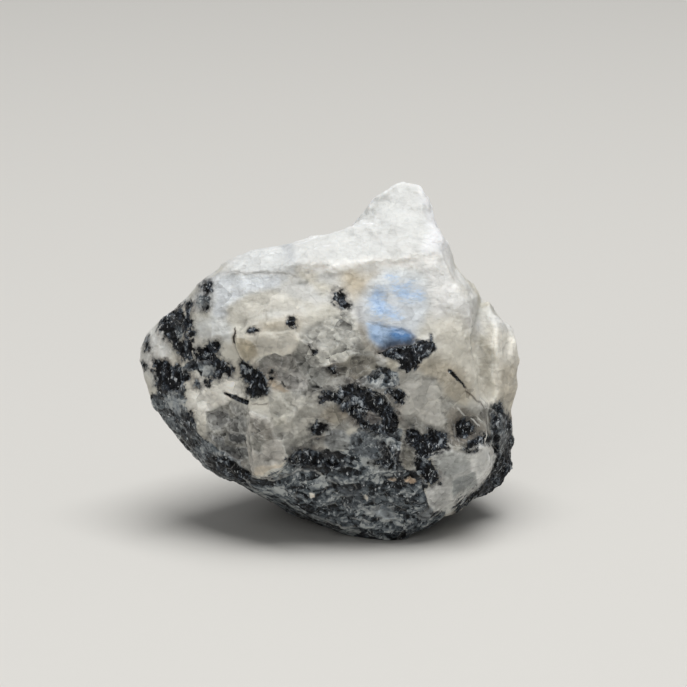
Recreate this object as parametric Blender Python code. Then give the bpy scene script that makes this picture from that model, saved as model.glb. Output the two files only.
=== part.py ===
"""A rough moonstone, 61 mm wide: broken white feldspar with black crystals, grown as one piece.

Units are metres. The stone's broken face looks along -Y, +X is its right and +Z is up. The origin is in
the resting face, under the middle of the stone's box. Lengths in the tables below are millimetres.
"""

import bmesh
import bpy
import numpy as np
from mathutils import Matrix, Vector, noise

MM = 0.001

# Sizes that drive the surface, in millimetres
SCULPT_VOXEL = 0.75  # edge of the faces that the relief is cut into
SOFTENING_PASSES = 2  # rounds the corners where blocks meet
BLOCK_GRAIN = 9.0  # width of the large cleavage blocks
BLOCK_TILT = 0.10  # slope of a cleavage block's face against the surface around it
BLOCK_STEP = 0.3  # most that one block stands above or below the next
CRUMBLE_SIZE = 3.4  # width of the small broken facets
CRUMBLE_TILT = 0.12
CRUMBLE_STEP = 0.15
SWELL_SIZE = 16.0  # width of the slow lumps and hollows
SWELL_HEIGHT = 0.4
RIND_CALM = 0.75  # share of the broken relief that the worn rind lacks
TARGET_TRIANGLES = 9400

# Convex blocks that the stone broke into, by the corners of each: x, y, z in millimetres.
BLOCKS = {
    "body": [
        # left nose and the top edge, left to right
        (-30.2, -3.0, 27.0), (-28.8, -2.0, 31.0), (-25.0, -3.0, 35.0), (-20.5, -4.0, 39.0),
        (-13.0, -3.0, 44.3), (-3.0, 0.0, 46.6), (4.0, 2.0, 46.4), (18.0, -3.0, 44.0),
        (21.0, -1.0, 39.5),
        # broken face: under the brow, the crest, the belly and the long ridge on the right
        (-18.0, -8.0, 41.0), (-6.0, -10.5, 43.0), (8.0, -10.5, 43.0), (18.5, -7.0, 43.5),
        (21.5, -11.5, 35.0), (-19.5, -10.0, 37.0), (-9.0, -15.0, 36.0), (0.0, -15.0, 38.0),
        (13.0, -16.0, 35.0), (12.0, -18.0, 28.0), (3.0, -19.0, 24.0), (-9.0, -18.0, 24.0),
        (-26.5, -8.0, 26.0), (-21.0, -12.5, 19.0), (-14.0, -15.5, 12.5), (-10.5, -16.5, 10.5),
        (1.5, -18.5, 13.0), (11.0, -18.5, 13.5), (23.5, -13.0, 24.0), (23.5, -12.5, 14.0),
        # lower edge, left to right
        (-28.3, -4.5, 20.5), (-25.0, -6.0, 16.0), (-21.5, -7.0, 12.5), (-12.0, -8.0, 7.0),
        (-3.0, -6.0, 1.5), (-4.5, -15.0, 6.5), (1.5, -13.0, 3.0), (3.0, -10.5, -0.2),
        (9.5, -12.5, -0.3), (13.0, -12.5, 0.0), (18.0, -8.0, 2.0), (20.0, -12.0, 7.0), (26.0, 0.0, 5.5),
        # back
        (-22.0, 8.0, 31.0), (-23.0, 6.0, 19.0), (-11.0, 17.0, 37.0), (-9.0, 21.0, 24.0),
        (-12.0, 13.0, 9.0), (5.0, 20.0, 41.0), (8.0, 25.0, 26.0), (6.0, 20.0, 7.0), (-8.0, 10.0, -0.6),
        (-3.0, 16.0, -0.6), (6.0, 16.0, -0.6), (19.0, 18.0, 36.0), (23.0, 20.0, 23.0),
        (22.0, 16.0, 7.0), (16.0, 13.0, -0.6), (-4.0, -2.0, -0.6),
    ],
    "peak": [
        (4.0, -9.0, 44.0), (16.5, -9.5, 43.5), (19.5, -2.0, 41.0), (2.0, 3.0, 46.0), (7.0, 15.0, 42.5),
        (12.0, 11.0, 47.5), (18.5, 13.0, 40.0), (3.0, 0.0, 46.9), (4.3, 0.0, 48.3), (7.0, 1.0, 50.9),
        (9.4, 1.0, 54.2), (12.0, 2.0, 55.1), (14.0, 2.0, 54.7), (15.2, 1.0, 52.9), (16.0, 0.0, 50.7),
        (17.2, -1.0, 48.6), (17.6, -2.0, 46.6),
    ],
    "brow": [
        (-6.0, -10.6, 44.6), (-3.5, -11.2, 43.6), (2.0, -11.6, 43.8), (6.0, -11.6, 44.6),
        (12.0, -10.6, 45.2), (16.5, -8.6, 45.6), (-5.0, -4.0, 46.6), (4.0, -1.0, 47.0),
        (12.0, -3.0, 50.5), (-6.0, -4.0, 43.0), (14.0, -5.0, 43.0),
    ],
    "upper_left_slab": [
        (-16.3, -7.0, 42.6), (-15.0, -9.4, 41.9), (-6.0, -11.3, 42.7), (-4.5, -10.5, 44.6),
        (-6.5, -2.0, 46.2), (-13.0, -3.5, 44.9), (-15.8, -5.5, 43.3), (-10.0, -2.0, 41.5),
    ],
    "central_sheet": [
        (-14.8, -14.5, 34.3), (-6.0, -15.8, 37.4), (3.0, -16.3, 37.2), (6.8, -17.0, 34.0),
        (7.2, -17.6, 31.8), (0.0, -17.9, 30.2), (-4.6, -17.5, 31.6), (-12.6, -16.1, 31.4),
        (-12.0, -10.0, 34.0), (4.0, -10.0, 36.0), (5.0, -10.0, 31.5), (-10.0, -10.0, 31.5),
    ],
    "back_shelf": [
        (-14.0, 15.0, 33.0), (-4.0, 21.5, 32.5), (6.0, 24.5, 30.5), (8.0, 26.0, 25.5),
        (-2.0, 24.5, 24.0), (7.0, 23.5, 16.0), (-3.0, 21.0, 13.0), (-14.0, 16.0, 18.0),
        (-6.0, 10.0, 33.0), (8.0, 12.0, 30.0), (6.0, 12.0, 10.0), (-10.0, 8.0, 12.0),
    ],
    "right_lobe": [
        (24.8, 2.0, 35.0), (27.0, 0.0, 31.5), (29.6, 2.0, 28.3), (29.6, -2.0, 25.0), (26.3, -5.0, 29.5),
        (29.0, 2.0, 19.8), (29.3, 1.0, 12.0), (28.6, 0.0, 7.8), (26.5, -6.5, 14.0), (26.2, -6.5, 22.0),
        (26.0, 0.0, 4.6), (20.0, 0.0, 2.0), (18.0, 12.0, 8.0), (26.0, 14.0, 24.0), (24.0, 13.0, 33.0),
        (26.0, 12.0, 10.0), (10.0, 0.0, 20.0),
    ],
    "cleaved_block": [
        (-13.0, -17.9, 23.0), (-11.4, -18.6, 12.2), (-6.0, -19.6, 14.0), (-5.0, -19.5, 20.0),
        (-7.0, -18.3, 24.0), (-12.0, -12.0, 24.0), (-11.0, -12.0, 12.0), (-4.0, -12.0, 14.0),
        (-4.0, -12.0, 24.0),
    ],
    "pale_grain": [
        (15.0, -17.6, 16.5), (19.5, -17.0, 18.0), (24.5, -13.2, 17.0), (24.2, -12.0, 11.0),
        (20.5, -12.6, 7.5), (15.5, -14.0, 4.2), (13.5, -16.6, 8.0), (18.0, -6.0, 16.0),
        (18.0, -6.0, 7.0),
    ],
    "black_crystal": [
        (7.4, -17.6, 31.2), (15.8, -16.6, 32.8), (16.6, -16.8, 31.4), (12.4, -19.2, 28.6),
        (11.4, -18.9, 29.2), (9.0, -12.0, 31.0), (14.5, -12.0, 31.0), (12.0, -12.0, 28.0),
    ],
}

# Chips broken out of the stone, given in the same way.
CHIPS = {
    "back_corner": [
        (12.0, 30.0, 44.0), (28.0, 30.0, 38.0), (28.0, 30.0, 26.0), (14.0, 30.0, 29.0),
        (10.0, 19.0, 43.0), (20.0, 14.5, 41.0), (25.0, 13.0, 27.0), (13.0, 19.5, 29.5),
    ],
    "back_left_cleft": [
        (-30.0, 20.0, 36.0), (-14.0, 28.0, 44.0), (-12.0, 28.0, 33.0), (-28.0, 24.0, 28.0),
        (-20.5, 5.5, 36.5), (-10.0, 13.5, 41.0), (-10.5, 14.0, 34.0), (-21.0, 7.0, 29.0),
    ],
    "under_brow": [
        (-4.5, -20.0, 42.8), (9.0, -20.0, 43.4), (8.0, -20.0, 39.0), (0.0, -20.0, 38.4),
        (-3.5, -10.8, 42.6), (8.5, -11.2, 43.2), (6.5, -12.9, 40.2), (1.0, -13.1, 39.4),
    ],
    "beside_cleaved_block": [
        (-20.0, -22.0, 24.5), (-13.1, -22.0, 24.0), (-11.6, -22.0, 11.0), (-16.0, -22.0, 13.5),
        (-19.0, -11.5, 23.5), (-12.8, -15.8, 23.0), (-11.6, -15.2, 12.5), (-16.0, -13.0, 14.5),
    ],
    "right_valley": [
        (22.6, -20.0, 37.0), (26.0, -20.0, 30.0), (26.4, -20.0, 22.0), (24.6, -20.0, 17.5),
        (21.9, -10.6, 36.0), (24.8, -3.6, 30.0), (25.2, -4.4, 24.0), (24.5, -10.0, 19.5),
        (24.0, -3.0, 34.0), (22.8, -12.6, 28.0),
    ],
}


def clear_scene():
    for obj in list(bpy.data.objects):
        bpy.data.objects.remove(obj)


def convex_block(name, corners):
    """A closed block with flat faces, spanned by its corners."""
    mesh = bpy.data.meshes.new(name)
    bm = bmesh.new()
    for corner in corners:
        bm.verts.new(Vector(corner) * MM)
    hull = bmesh.ops.convex_hull(bm, input=bm.verts)
    inner = set(hull["geom_interior"]) | set(hull["geom_unused"])
    bmesh.ops.delete(bm, geom=[g for g in inner if isinstance(g, bmesh.types.BMVert)], context="VERTS")
    bmesh.ops.recalc_face_normals(bm, faces=bm.faces)
    bm.to_mesh(mesh)
    bm.free()
    obj = bpy.data.objects.new(name, mesh)
    bpy.context.scene.collection.objects.link(obj)
    return obj


def applied(obj):
    """The object's mesh with its modifiers applied, in a new mesh."""
    graph = bpy.context.evaluated_depsgraph_get()
    return bpy.data.meshes.new_from_object(obj.evaluated_get(graph), depsgraph=graph)


def combined(obj, other, operation):
    """Adds a Boolean that joins or cuts the object with the other one."""
    boolean = obj.modifiers.new(other.name, "BOOLEAN")
    boolean.operation = operation
    boolean.object = other
    return boolean


def fused_blocks():
    """All blocks joined and chipped, in one even mesh of small faces, with the sharpest corners worn."""
    blocks = [convex_block(name, corners) for name, corners in BLOCKS.items()]
    chips = [convex_block(name, corners) for name, corners in CHIPS.items()]
    stone = blocks[0]
    for block in blocks[1:]:
        combined(stone, block, "UNION")
    for chip in chips:
        combined(stone, chip, "DIFFERENCE")
    remesh = stone.modifiers.new("even_faces", "REMESH")
    remesh.mode = "VOXEL"
    remesh.voxel_size = SCULPT_VOXEL * MM
    wear = stone.modifiers.new("worn_corners", "SMOOTH")
    wear.iterations = SOFTENING_PASSES
    result = applied(stone)
    for helper in blocks + chips:
        bpy.data.objects.remove(helper)
    return result


def mesh_arrays(mesh):
    """Points and vertex normals as arrays, the points in millimetres."""
    points = np.empty(len(mesh.vertices) * 3)
    mesh.vertices.foreach_get("co", points)
    normals = np.empty(len(mesh.vertices) * 3)
    mesh.vertex_normals.foreach_get("vector", normals)
    return points.reshape(-1, 3) / MM, normals.reshape(-1, 3)


def hashed(cells, salt):
    """A number from -1 to 1 for each cell centre, the same on each run."""
    wave = np.sin(cells @ np.array([12.9898, 78.233, 37.719]) + salt) * 43758.5453
    return 2 * (wave - np.floor(wave)) - 1


def facet_relief(points, size, tilt, step, squash=(1.0, 1.0, 1.0)):
    """Height of broken facets, each with its own level and slope, in cells of that size."""
    scaled = points / size / np.array(squash)
    cells = np.array([noise.voronoi(Vector(p))[1][0] for p in scaled])
    level = step * hashed(cells, 1.0)
    slope = np.stack([hashed(cells, salt) for salt in (2.0, 3.0, 4.0)], axis=1)
    offset = (scaled - cells) * size
    return level + tilt * (slope * offset).sum(axis=1)


def swell_relief(points):
    return SWELL_HEIGHT * np.array([noise.fractal(Vector(p / SWELL_SIZE), 1.0, 2.0, 3) for p in points])


def rind_share(points, normals):
    """1 on the worn rind under the left and right of the stone, 0 on the broken faces."""
    down_left = normals @ np.array([-0.66, 0.0, -0.75])
    return np.clip((down_left - 0.45) / 0.2, 0, 1)


def weathered(mesh):
    """The blocks' mesh with cleavage steps, broken facets and slow lumps cut into it."""
    points, normals = mesh_arrays(mesh)
    broken = facet_relief(points, BLOCK_GRAIN, BLOCK_TILT, BLOCK_STEP)
    broken += facet_relief(points + 50.0, CRUMBLE_SIZE, CRUMBLE_TILT, CRUMBLE_STEP)
    height = broken * (1 - RIND_CALM * rind_share(points, normals)) + swell_relief(points)
    moved = (points + normals * height[:, None]) * MM
    mesh.vertices.foreach_set("co", moved.ravel())
    mesh.update()
    return mesh


def rest_flat(mesh):
    """Cuts the stone off at z = 0, so that it stands on one flat face."""
    bm = bmesh.new()
    bm.from_mesh(mesh)
    cut = bmesh.ops.bisect_plane(
        bm, geom=bm.verts[:] + bm.edges[:] + bm.faces[:], dist=1e-7,
        plane_co=(0, 0, 0), plane_no=(0, 0, 1), clear_inner=True,
    )
    rim = [g for g in cut["geom_cut"] if isinstance(g, bmesh.types.BMEdge)]
    bmesh.ops.edgeloop_fill(bm, edges=rim)
    bmesh.ops.triangulate(bm, faces=bm.faces)
    bm.to_mesh(mesh)
    bm.free()


def centred(mesh):
    """Moves the stone sideways until its box is centred on the origin."""
    points = mesh_arrays(mesh)[0]
    middle = (points.min(axis=0) + points.max(axis=0)) / 2 * MM
    mesh.transform(Matrix.Translation((-middle[0], -middle[1], 0)))


def moonstone_material():
    material = bpy.data.materials.new("moonstone")
    material.use_nodes = True
    shader = material.node_tree.nodes["Principled BSDF"]
    shader.inputs["Base Color"].default_value = (0.62, 0.61, 0.58, 1.0)
    shader.inputs["Roughness"].default_value = 0.5
    shader.inputs["Metallic"].default_value = 0.0
    return material


def main():
    clear_scene()
    mesh = weathered(fused_blocks())
    sculpt = bpy.data.objects.new("sculpt", mesh)
    bpy.context.scene.collection.objects.link(sculpt)
    fewer = sculpt.modifiers.new("fewer_faces", "DECIMATE")
    mesh.calc_loop_triangles()
    fewer.ratio = TARGET_TRIANGLES / len(mesh.loop_triangles)
    stone_mesh = applied(sculpt)
    bpy.data.objects.remove(sculpt)
    rest_flat(stone_mesh)
    centred(stone_mesh)
    stone_mesh.name = "moonstone"
    stone_mesh.materials.append(moonstone_material())
    stone = bpy.data.objects.new("moonstone", stone_mesh)
    bpy.context.scene.collection.objects.link(stone)


main()
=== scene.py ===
import math

import bpy
import numpy as np
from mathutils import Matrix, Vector, noise


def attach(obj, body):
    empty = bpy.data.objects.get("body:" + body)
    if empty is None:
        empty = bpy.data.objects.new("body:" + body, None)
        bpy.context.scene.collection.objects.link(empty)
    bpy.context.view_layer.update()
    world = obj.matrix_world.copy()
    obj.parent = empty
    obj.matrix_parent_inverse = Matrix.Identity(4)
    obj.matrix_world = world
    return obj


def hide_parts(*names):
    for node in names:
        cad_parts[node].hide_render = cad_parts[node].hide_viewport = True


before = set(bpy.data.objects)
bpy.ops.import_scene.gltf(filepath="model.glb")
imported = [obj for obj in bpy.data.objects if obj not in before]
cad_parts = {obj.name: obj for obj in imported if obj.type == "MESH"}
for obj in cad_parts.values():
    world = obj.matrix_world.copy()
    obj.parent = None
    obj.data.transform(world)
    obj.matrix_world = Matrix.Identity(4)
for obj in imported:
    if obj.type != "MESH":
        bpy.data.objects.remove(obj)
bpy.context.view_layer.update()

mm = 0.001
seed = 4
farAway = 1e9


# Small helpers. Points, sizes and distances are in mm until a mesh is written.

def linear(red, green, blue):
    # screen colour, 0 to 255, to the linear values that shaders take
    result = []
    for value in (red, green, blue):
        value = value / 255
        result.append(value / 12.92 if value <= 0.04045 else ((value + 0.055) / 1.055) ** 2.4)
    return tuple(result)


def ramp(values, low, high):
    # smooth 0 to 1 as the values go from low to high
    t = np.clip((values - low) / (high - low), 0, 1)
    return t * t * (3 - 2 * t)


def mix(a, b, share):
    return a + (b - a) * share


def fractal(points, size, octaves, shift):
    # soft noise, about -1 to 1, with lumps of that size
    scaled = (points / size + shift + seed).tolist()
    return np.array([noise.fractal(p, 1.0, 2.0, octaves) for p in scaled])


def cells(points, size, shift):
    # Voronoi: each point's cell centre, and its offset from there
    scaled = points / size + shift + seed
    centres = np.empty((len(scaled), 3))
    for i, p in enumerate(scaled.tolist()):
        centres[i] = noise.voronoi(p)[1][0]
    return centres, (scaled - centres) * size


def hashed(centres, salt):
    # one steady number from -1 to 1 for each cell: the far digits of a steep wave
    direction, steepness = np.array([12.9898, 78.233, 37.719]), 43758.5453
    wave = np.sin(centres @ direction + salt * 1.7) * steepness
    return 2 * (wave - np.floor(wave)) - 1


def hashedVector(centres, salt):
    vectors = np.stack([hashed(centres, salt + k) for k in (0.1, 0.2, 0.3)], axis=1)
    return vectors / (np.linalg.norm(vectors, axis=1, keepdims=True) + 1e-9)


def besideSegment(u, v, a, b):
    # distance to a segment, and which side of it
    e = (b[0] - a[0], b[1] - a[1])
    w0, w1 = u - a[0], v - a[1]
    t = np.clip((w0 * e[0] + w1 * e[1]) / (e[0] ** 2 + e[1] ** 2), 0, 1)
    return np.hypot(w0 - t * e[0], w1 - t * e[1]), np.sign(w0 * e[1] - w1 * e[0])


def insideOutline(u, v, corners):
    # distance to a closed outline, above 0 inside and below 0 outside
    best = np.full(len(u), farAway)
    within = np.zeros(len(u), bool)
    for a, b in zip(corners, corners[1:] + corners[:1]):
        best = np.minimum(best, besideSegment(u, v, a, b)[0])
        if a[1] != b[1]:
            crossesAt = a[0] + (v - a[1]) * (b[0] - a[0]) / (b[1] - a[1])
            within ^= ((a[1] > v) != (b[1] > v)) & (u < crossesAt)
    return np.where(within, best, -best)


def besideLine(u, v, points):
    # distance to an open line, with a sign for its side
    best = np.full(len(u), farAway)
    side = np.ones(len(u))
    for a, b in zip(points[:-1], points[1:]):
        distance, sign = besideSegment(u, v, a, b)
        side = np.where(distance < best, sign, side)
        best = np.minimum(best, distance)
    return best * side


# The camera stands in front of the broken face, a little above it.

cameraSettings = {
    "lens": 180.0,
    "sensor": 36.0,
    "clip": (0.01, 20.0),
    "height": 14.0,  # degrees above level
    "pixelsPerMm": 6.2,
    "imagePixels": 687,
    "originAt": (331.2, 513.4),  # pixel where the frame's origin is seen
}


def makeCamera(s):
    tilt = math.radians(s["height"])
    back = Vector((0, -math.cos(tilt), math.sin(tilt)))
    up = Vector((0, math.sin(tilt), math.cos(tilt)))
    middle = s["imagePixels"] / 2
    right = (middle - s["originAt"][0]) / s["pixelsPerMm"]
    rise = (s["originAt"][1] - middle) / s["pixelsPerMm"]
    data = bpy.data.cameras.new("camera")
    data.lens = s["lens"]
    data.sensor_width = s["sensor"]
    data.clip_start, data.clip_end = s["clip"]
    distance = s["imagePixels"] / s["pixelsPerMm"] * s["lens"] / data.sensor_width
    camera = bpy.data.objects.new("camera", data)
    camera.location = (Vector((1, 0, 0)) * right + up * rise + back * distance) * mm
    camera.rotation_euler = (-back).to_track_quat("-Z", "Y").to_euler()
    bpy.context.scene.collection.objects.link(camera)
    bpy.context.scene.camera = camera
    return np.array(back), np.array(up), distance, (right, rise)


towardsViewer, viewUp, viewDistance, viewMiddle = makeCamera(cameraSettings)
print("camera placed")


# What grew where on the broken face. Outlines are seen from the front, in mm right of and above the
# origin's place in that view: the black minerals first.

blackMinerals = {
    "upperLeft": [
        (-28.0, 30.8), (-27.3, 31.3), (-25.7, 32.6), (-24.4, 33.1), (-24.0, 31.4), (-23.4, 30.0),
        (-23.2, 28.7), (-22.5, 27.1), (-22.0, 26.5), (-20.7, 26.6), (-19.4, 27.5), (-18.3, 27.8),
        (-18.1, 26.9), (-18.9, 25.5), (-18.1, 24.7), (-16.1, 23.4), (-15.9, 22.7), (-16.6, 22.1),
        (-17.5, 22.8), (-18.1, 21.5), (-18.9, 22.0), (-18.9, 23.4), (-20.0, 24.9), (-23.9, 25.0),
        (-24.5, 25.9), (-25.2, 26.6), (-25.6, 27.4), (-26.8, 28.6), (-27.6, 29.8), (-27.2, 30.4)],
    "tallSpot": [
        (-23.5, 33.7), (-22.7, 34.0), (-22.3, 33.6), (-22.7, 33.0), (-22.5, 31.0), (-22.7, 29.9),
        (-23.3, 30.2), (-23.6, 31.2), (-23.3, 31.9)],
    "spur": [(-23.0, 29.3), (-22.3, 29.6), (-22.0, 28.8), (-22.6, 28.4)],
    "lowerLeft": [
        (-28.8, 24.9), (-26.6, 24.6), (-25.8, 23.6), (-24.5, 24.2), (-24.1, 23.3), (-22.7, 22.8),
        (-23.0, 21.7), (-23.9, 21.2), (-23.9, 20.2), (-25.2, 19.8), (-27.3, 19.9), (-28.2, 20.5),
        (-28.4, 22.4), (-28.9, 23.0), (-28.5, 23.3)],
    "tipFleck": [(-29.9, 28.3), (-29.7, 27.8), (-29.8, 27.2), (-29.3, 26.3), (-29.7, 26.3), (-30.0, 27.2)],
    "lowTipFleck": [(-30.5, 24.3), (-30.0, 23.9), (-30.3, 23.4), (-30.6, 23.7)],
    "lowSpur": [(-22.0, 21.4), (-21.4, 20.9), (-21.6, 20.3), (-21.9, 20.5)],
    "rightSpur": [(-20.1, 21.7), (-19.4, 21.4), (-19.7, 20.9), (-20.1, 21.1)],
    "cluster": [
        (-14.6, 24.3), (-13.8, 24.5), (-12.4, 23.4), (-11.3, 22.7), (-10.8, 21.9), (-10.3, 20.2),
        (-10.4, 19.4), (-11.5, 19.0), (-12.6, 18.8), (-13.4, 19.2), (-13.8, 20.2), (-13.1, 20.8),
        (-14.2, 21.8), (-14.5, 22.5)],
    "edgeSpot": [
        (-20.9, 36.4), (-20.4, 37.3), (-19.6, 37.3), (-19.4, 36.8), (-19.8, 35.9), (-19.9, 35.1),
        (-20.3, 35.1), (-20.4, 35.8)],
    "edgeFleck": [(-20.5, 33.4), (-20.1, 33.8), (-19.8, 33.3), (-20.4, 32.8)],
    "smallFleck": [
        (-13.7, 29.2), (-13.4, 29.8), (-12.7, 30.0), (-12.0, 29.8), (-11.9, 29.5), (-12.6, 29.4),
        (-12.7, 29.0), (-13.2, 29.0)],
    "roundFleck": [
        (-7.2, 30.9), (-6.8, 31.6), (-6.1, 31.7), (-5.7, 31.2), (-5.6, 30.5), (-6.0, 30.0), (-6.6, 29.8),
        (-7.2, 30.3)],
    "hook": [
        (0.3, 34.6), (0.6, 35.8), (1.5, 35.7), (2.2, 35.4), (2.1, 34.3), (2.7, 33.9), (3.3, 33.5),
        (2.8, 33.0), (1.5, 33.3), (0.9, 33.9)],
    "triangle": [
        (7.6, 25.8), (9.9, 26.6), (13.4, 27.2), (14.3, 27.5), (15.8, 27.6), (16.0, 28.9), (16.2, 27.5),
        (17.0, 26.7), (16.2, 26.0), (14.6, 24.7), (14.0, 23.9), (13.5, 23.1), (13.2, 23.5), (12.4, 22.7),
        (11.8, 23.2), (10.7, 23.3), (11.3, 23.9), (10.8, 24.5), (9.3, 25.3)],
    "triangleSpike": [(13.9, 27.6), (14.0, 27.9), (15.4, 27.6), (15.2, 27.3)],
    "spotBesideClear": [(-0.9, 23.3), (0.1, 23.6), (1.0, 23.2), (0.2, 22.7), (-0.5, 23.0)],
    "spotInClear": [(-3.6, 27.0), (-3.2, 26.2), (-2.3, 26.2), (-2.5, 25.8), (-2.9, 25.4), (-3.4, 26.0)],
    "arc": [
        (-1.8, 18.2), (-1.2, 19.3), (0.6, 19.7), (1.8, 20.3), (2.9, 21.0), (4.3, 20.7), (6.1, 19.8),
        (8.0, 19.1), (9.2, 17.9), (10.4, 16.2), (10.8, 14.5), (9.8, 13.0), (7.6, 12.8), (5.4, 13.8),
        (4.0, 14.8), (3.0, 16.2), (1.9, 17.0), (1.3, 18.1), (-0.6, 18.1), (-1.3, 17.7)],
    "arcRight": [
        (9.0, 19.8), (9.9, 20.1), (11.0, 20.0), (11.8, 19.2), (11.4, 18.2), (10.8, 17.9), (10.2, 18.4)],
    "blob": [(-3.4, 13.8), (-2.3, 14.9), (-0.8, 14.2), (-1.2, 13.2), (-1.9, 12.7), (-2.9, 13.0)],
    "lowSpot": [
        (-6.9, 8.3), (-6.4, 9.4), (-5.0, 10.1), (-3.2, 10.1), (-1.8, 9.7), (-1.4, 8.6), (-1.7, 7.5),
        (-3.7, 7.7), (-5.6, 7.7)],
    "lowLens": [(-1.0, 8.3), (0.2, 8.8), (1.3, 7.8), (1.0, 6.9), (-1.0, 7.0)],
    "middleVein": [
        (8.1, 11.0), (9.2, 10.8), (10.6, 8.9), (11.1, 7.8), (10.8, 6.7), (8.7, 6.9), (6.5, 8.1),
        (9.2, 8.3)],
    "rightMass": [
        (11.9, 13.5), (13.2, 13.7), (14.6, 12.6), (16.5, 13.5), (18.4, 12.6), (18.8, 10.8), (17.5, 10.0),
        (15.9, 9.3), (14.9, 8.6), (16.5, 8.2), (17.3, 5.1), (16.1, 4.7), (13.8, 6.7), (13.5, 8.6),
        (13.8, 10.2), (13.2, 11.0)],
    "dot": [
        (19.9, 14.2), (20.7, 14.9), (21.4, 15.2), (22.3, 14.7), (22.8, 13.8), (22.5, 12.9), (21.4, 12.2),
        (20.3, 12.6)],
    "streak": [
        (22.5, 11.7), (23.9, 12.8), (25.0, 12.4), (26.1, 12.6), (25.9, 11.7), (24.6, 11.3), (23.2, 11.1),
        (22.5, 10.3), (21.2, 10.4)],
    "rightRim": [
        (25.9, 17.2), (26.8, 16.7), (27.4, 17.9), (27.5, 16.5), (28.9, 14.9), (30.0, 13.0), (31.2, 11.0),
        (30.6, 7.0), (28.0, 4.0), (24.5, 1.6), (20.2, -0.6), (20.3, 1.6), (22.5, 3.2), (24.3, 4.5),
        (25.9, 6.5), (26.8, 9.3), (26.1, 10.2), (26.1, 12.0), (26.6, 12.7), (26.1, 15.6)],
    "rustSpeck": [(-9.9, 23.3), (-9.5, 23.2), (-9.4, 22.5), (-9.9, 22.6)],
    "rustSpeckLow": [(-9.9, 22.1), (-9.4, 22.0), (-9.5, 21.4), (-9.9, 21.5)],
    "rindSpot": [
        (-23.8, 16.3), (-23.1, 16.3), (-22.2, 13.8), (-22.4, 13.0), (-23.4, 13.3), (-24.0, 14.0),
        (-23.5, 14.6)],
    "rindLow": [
        (-19.1, 8.9), (-17.0, 9.3), (-15.4, 8.4), (-13.0, 6.0), (-13.3, 4.4), (-15.1, 5.2), (-17.3, 6.6),
        (-18.8, 7.7)],
}

# How much cleaner than the rest the edges of these are. The needles are straight.
crispMinerals = {
    "lowerLeft": 1.4, "triangle": 2.5, "triangleSpike": 2.5, "roundFleck": 1.6, "smallFleck": 2.0,
    "spotInClear": 2.0, "rustSpeck": 2.0, "rustSpeckLow": 2.0,
}
needles = {
    "left": [
        (-17.3, 19.45), (-17.0, 19.5), (-15.9, 19.15), (-14.7, 18.7), (-13.4, 18.25), (-13.3, 17.8),
        (-13.7, 17.6), (-15.3, 18.15), (-16.6, 18.85)],
    "right": [
        (18.9, 23.35), (19.2, 23.2), (20.2, 22.1), (21.0, 21.2), (21.8, 20.1), (20.8, 21.0), (19.6, 22.2),
        (18.9, 22.95)],
}

# Grey glassy grains that show through the black ones.
windows = {
    "arcLens": [(5.0, 15.7), (6.0, 16.5), (7.3, 16.1), (8.4, 15.2), (8.0, 14.3), (6.7, 14.3), (5.6, 14.9)],
    "upperLeft": [
        (-26.2, 31.6), (-25.0, 32.1), (-24.0, 31.3), (-23.4, 29.6), (-23.4, 27.9), (-24.5, 27.7),
        (-25.2, 29.0), (-25.8, 30.4)],
    "rightEdge": [
        (26.6, 16.4), (27.4, 16.2), (28.2, 14.0), (28.6, 11.6), (28.0, 9.2), (27.2, 9.6), (26.9, 12.0)],
    "upperLeftLow": [(-22.6, 26.2), (-21.4, 26.1), (-21.0, 25.4), (-22.2, 25.3)],
}

# Dark slaty rock: fine feldspar and black mineral grown together.
slatyRock = {
    "between": [
        (-23.9, 23.4), (-23.3, 24.4), (-21.9, 24.7), (-19.2, 24.9), (-18.6, 23.9), (-18.2, 22.2),
        (-21.0, 22.1), (-22.0, 23.1), (-23.8, 22.8)],
    "inUpperLeft": [
        (-27.0, 31.6), (-25.2, 32.6), (-23.6, 31.8), (-23.3, 29.9), (-24.2, 28.2), (-26.0, 28.8)],
    "leftRind": [
        (-27.7, 19.8), (-25.9, 20.6), (-23.7, 20.6), (-23.6, 17.9), (-23.4, 16.6), (-22.4, 14.9),
        (-21.6, 13.0), (-20.4, 12.0), (-18.8, 10.6), (-17.4, 9.9), (-16.2, 9.2), (-15.0, 8.6), (-13.6, 7.1),
        (-12.7, 6.0), (-10.5, 5.2), (-8.4, 5.0), (-8.4, -2.0), (-14.5, -2.0), (-21.7, 3.0), (-27.9, 8.0),
        (-31.3, 13.3), (-31.0, 18.0)],
    "bottom": [
        (-12.8, 5.3), (-10.4, 5.9), (-8.2, 6.8), (-7.2, 8.0), (-6.6, 9.0), (-4.8, 9.8), (-2.1, 9.8),
        (-1.0, 10.2), (1.7, 10.0), (3.3, 12.4), (5.0, 14.3), (7.5, 13.2), (9.8, 13.8), (11.4, 13.5),
        (11.4, 11.6), (11.1, 8.9), (11.9, 7.0), (13.8, 6.7), (15.9, 4.6), (15.1, 3.5), (15.9, 1.6),
        (18.5, 1.0), (18.1, -2.2), (11.1, -7.2), (-1.0, -7.4), (-9.1, -3.1), (-14.4, 1.2)],
    "speckled": [
        (5.8, 22.4), (7.6, 23.8), (9.3, 23.4), (10.6, 22.6), (10.9, 21.0), (9.6, 19.8), (7.4, 20.2),
        (6.2, 21.0)],
    "rightEdge": [
        (25.6, 17.4), (27.4, 18.0), (28.6, 15.0), (29.4, 11.6), (28.4, 7.6), (26.6, 8.4), (25.8, 12.0)],
    "leftTop": [(-21.5, 35.2), (-20.0, 35.2), (-19.4, 34.6), (-19.6, 33.6), (-20.6, 33.0), (-21.6, 33.6)],
}


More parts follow.
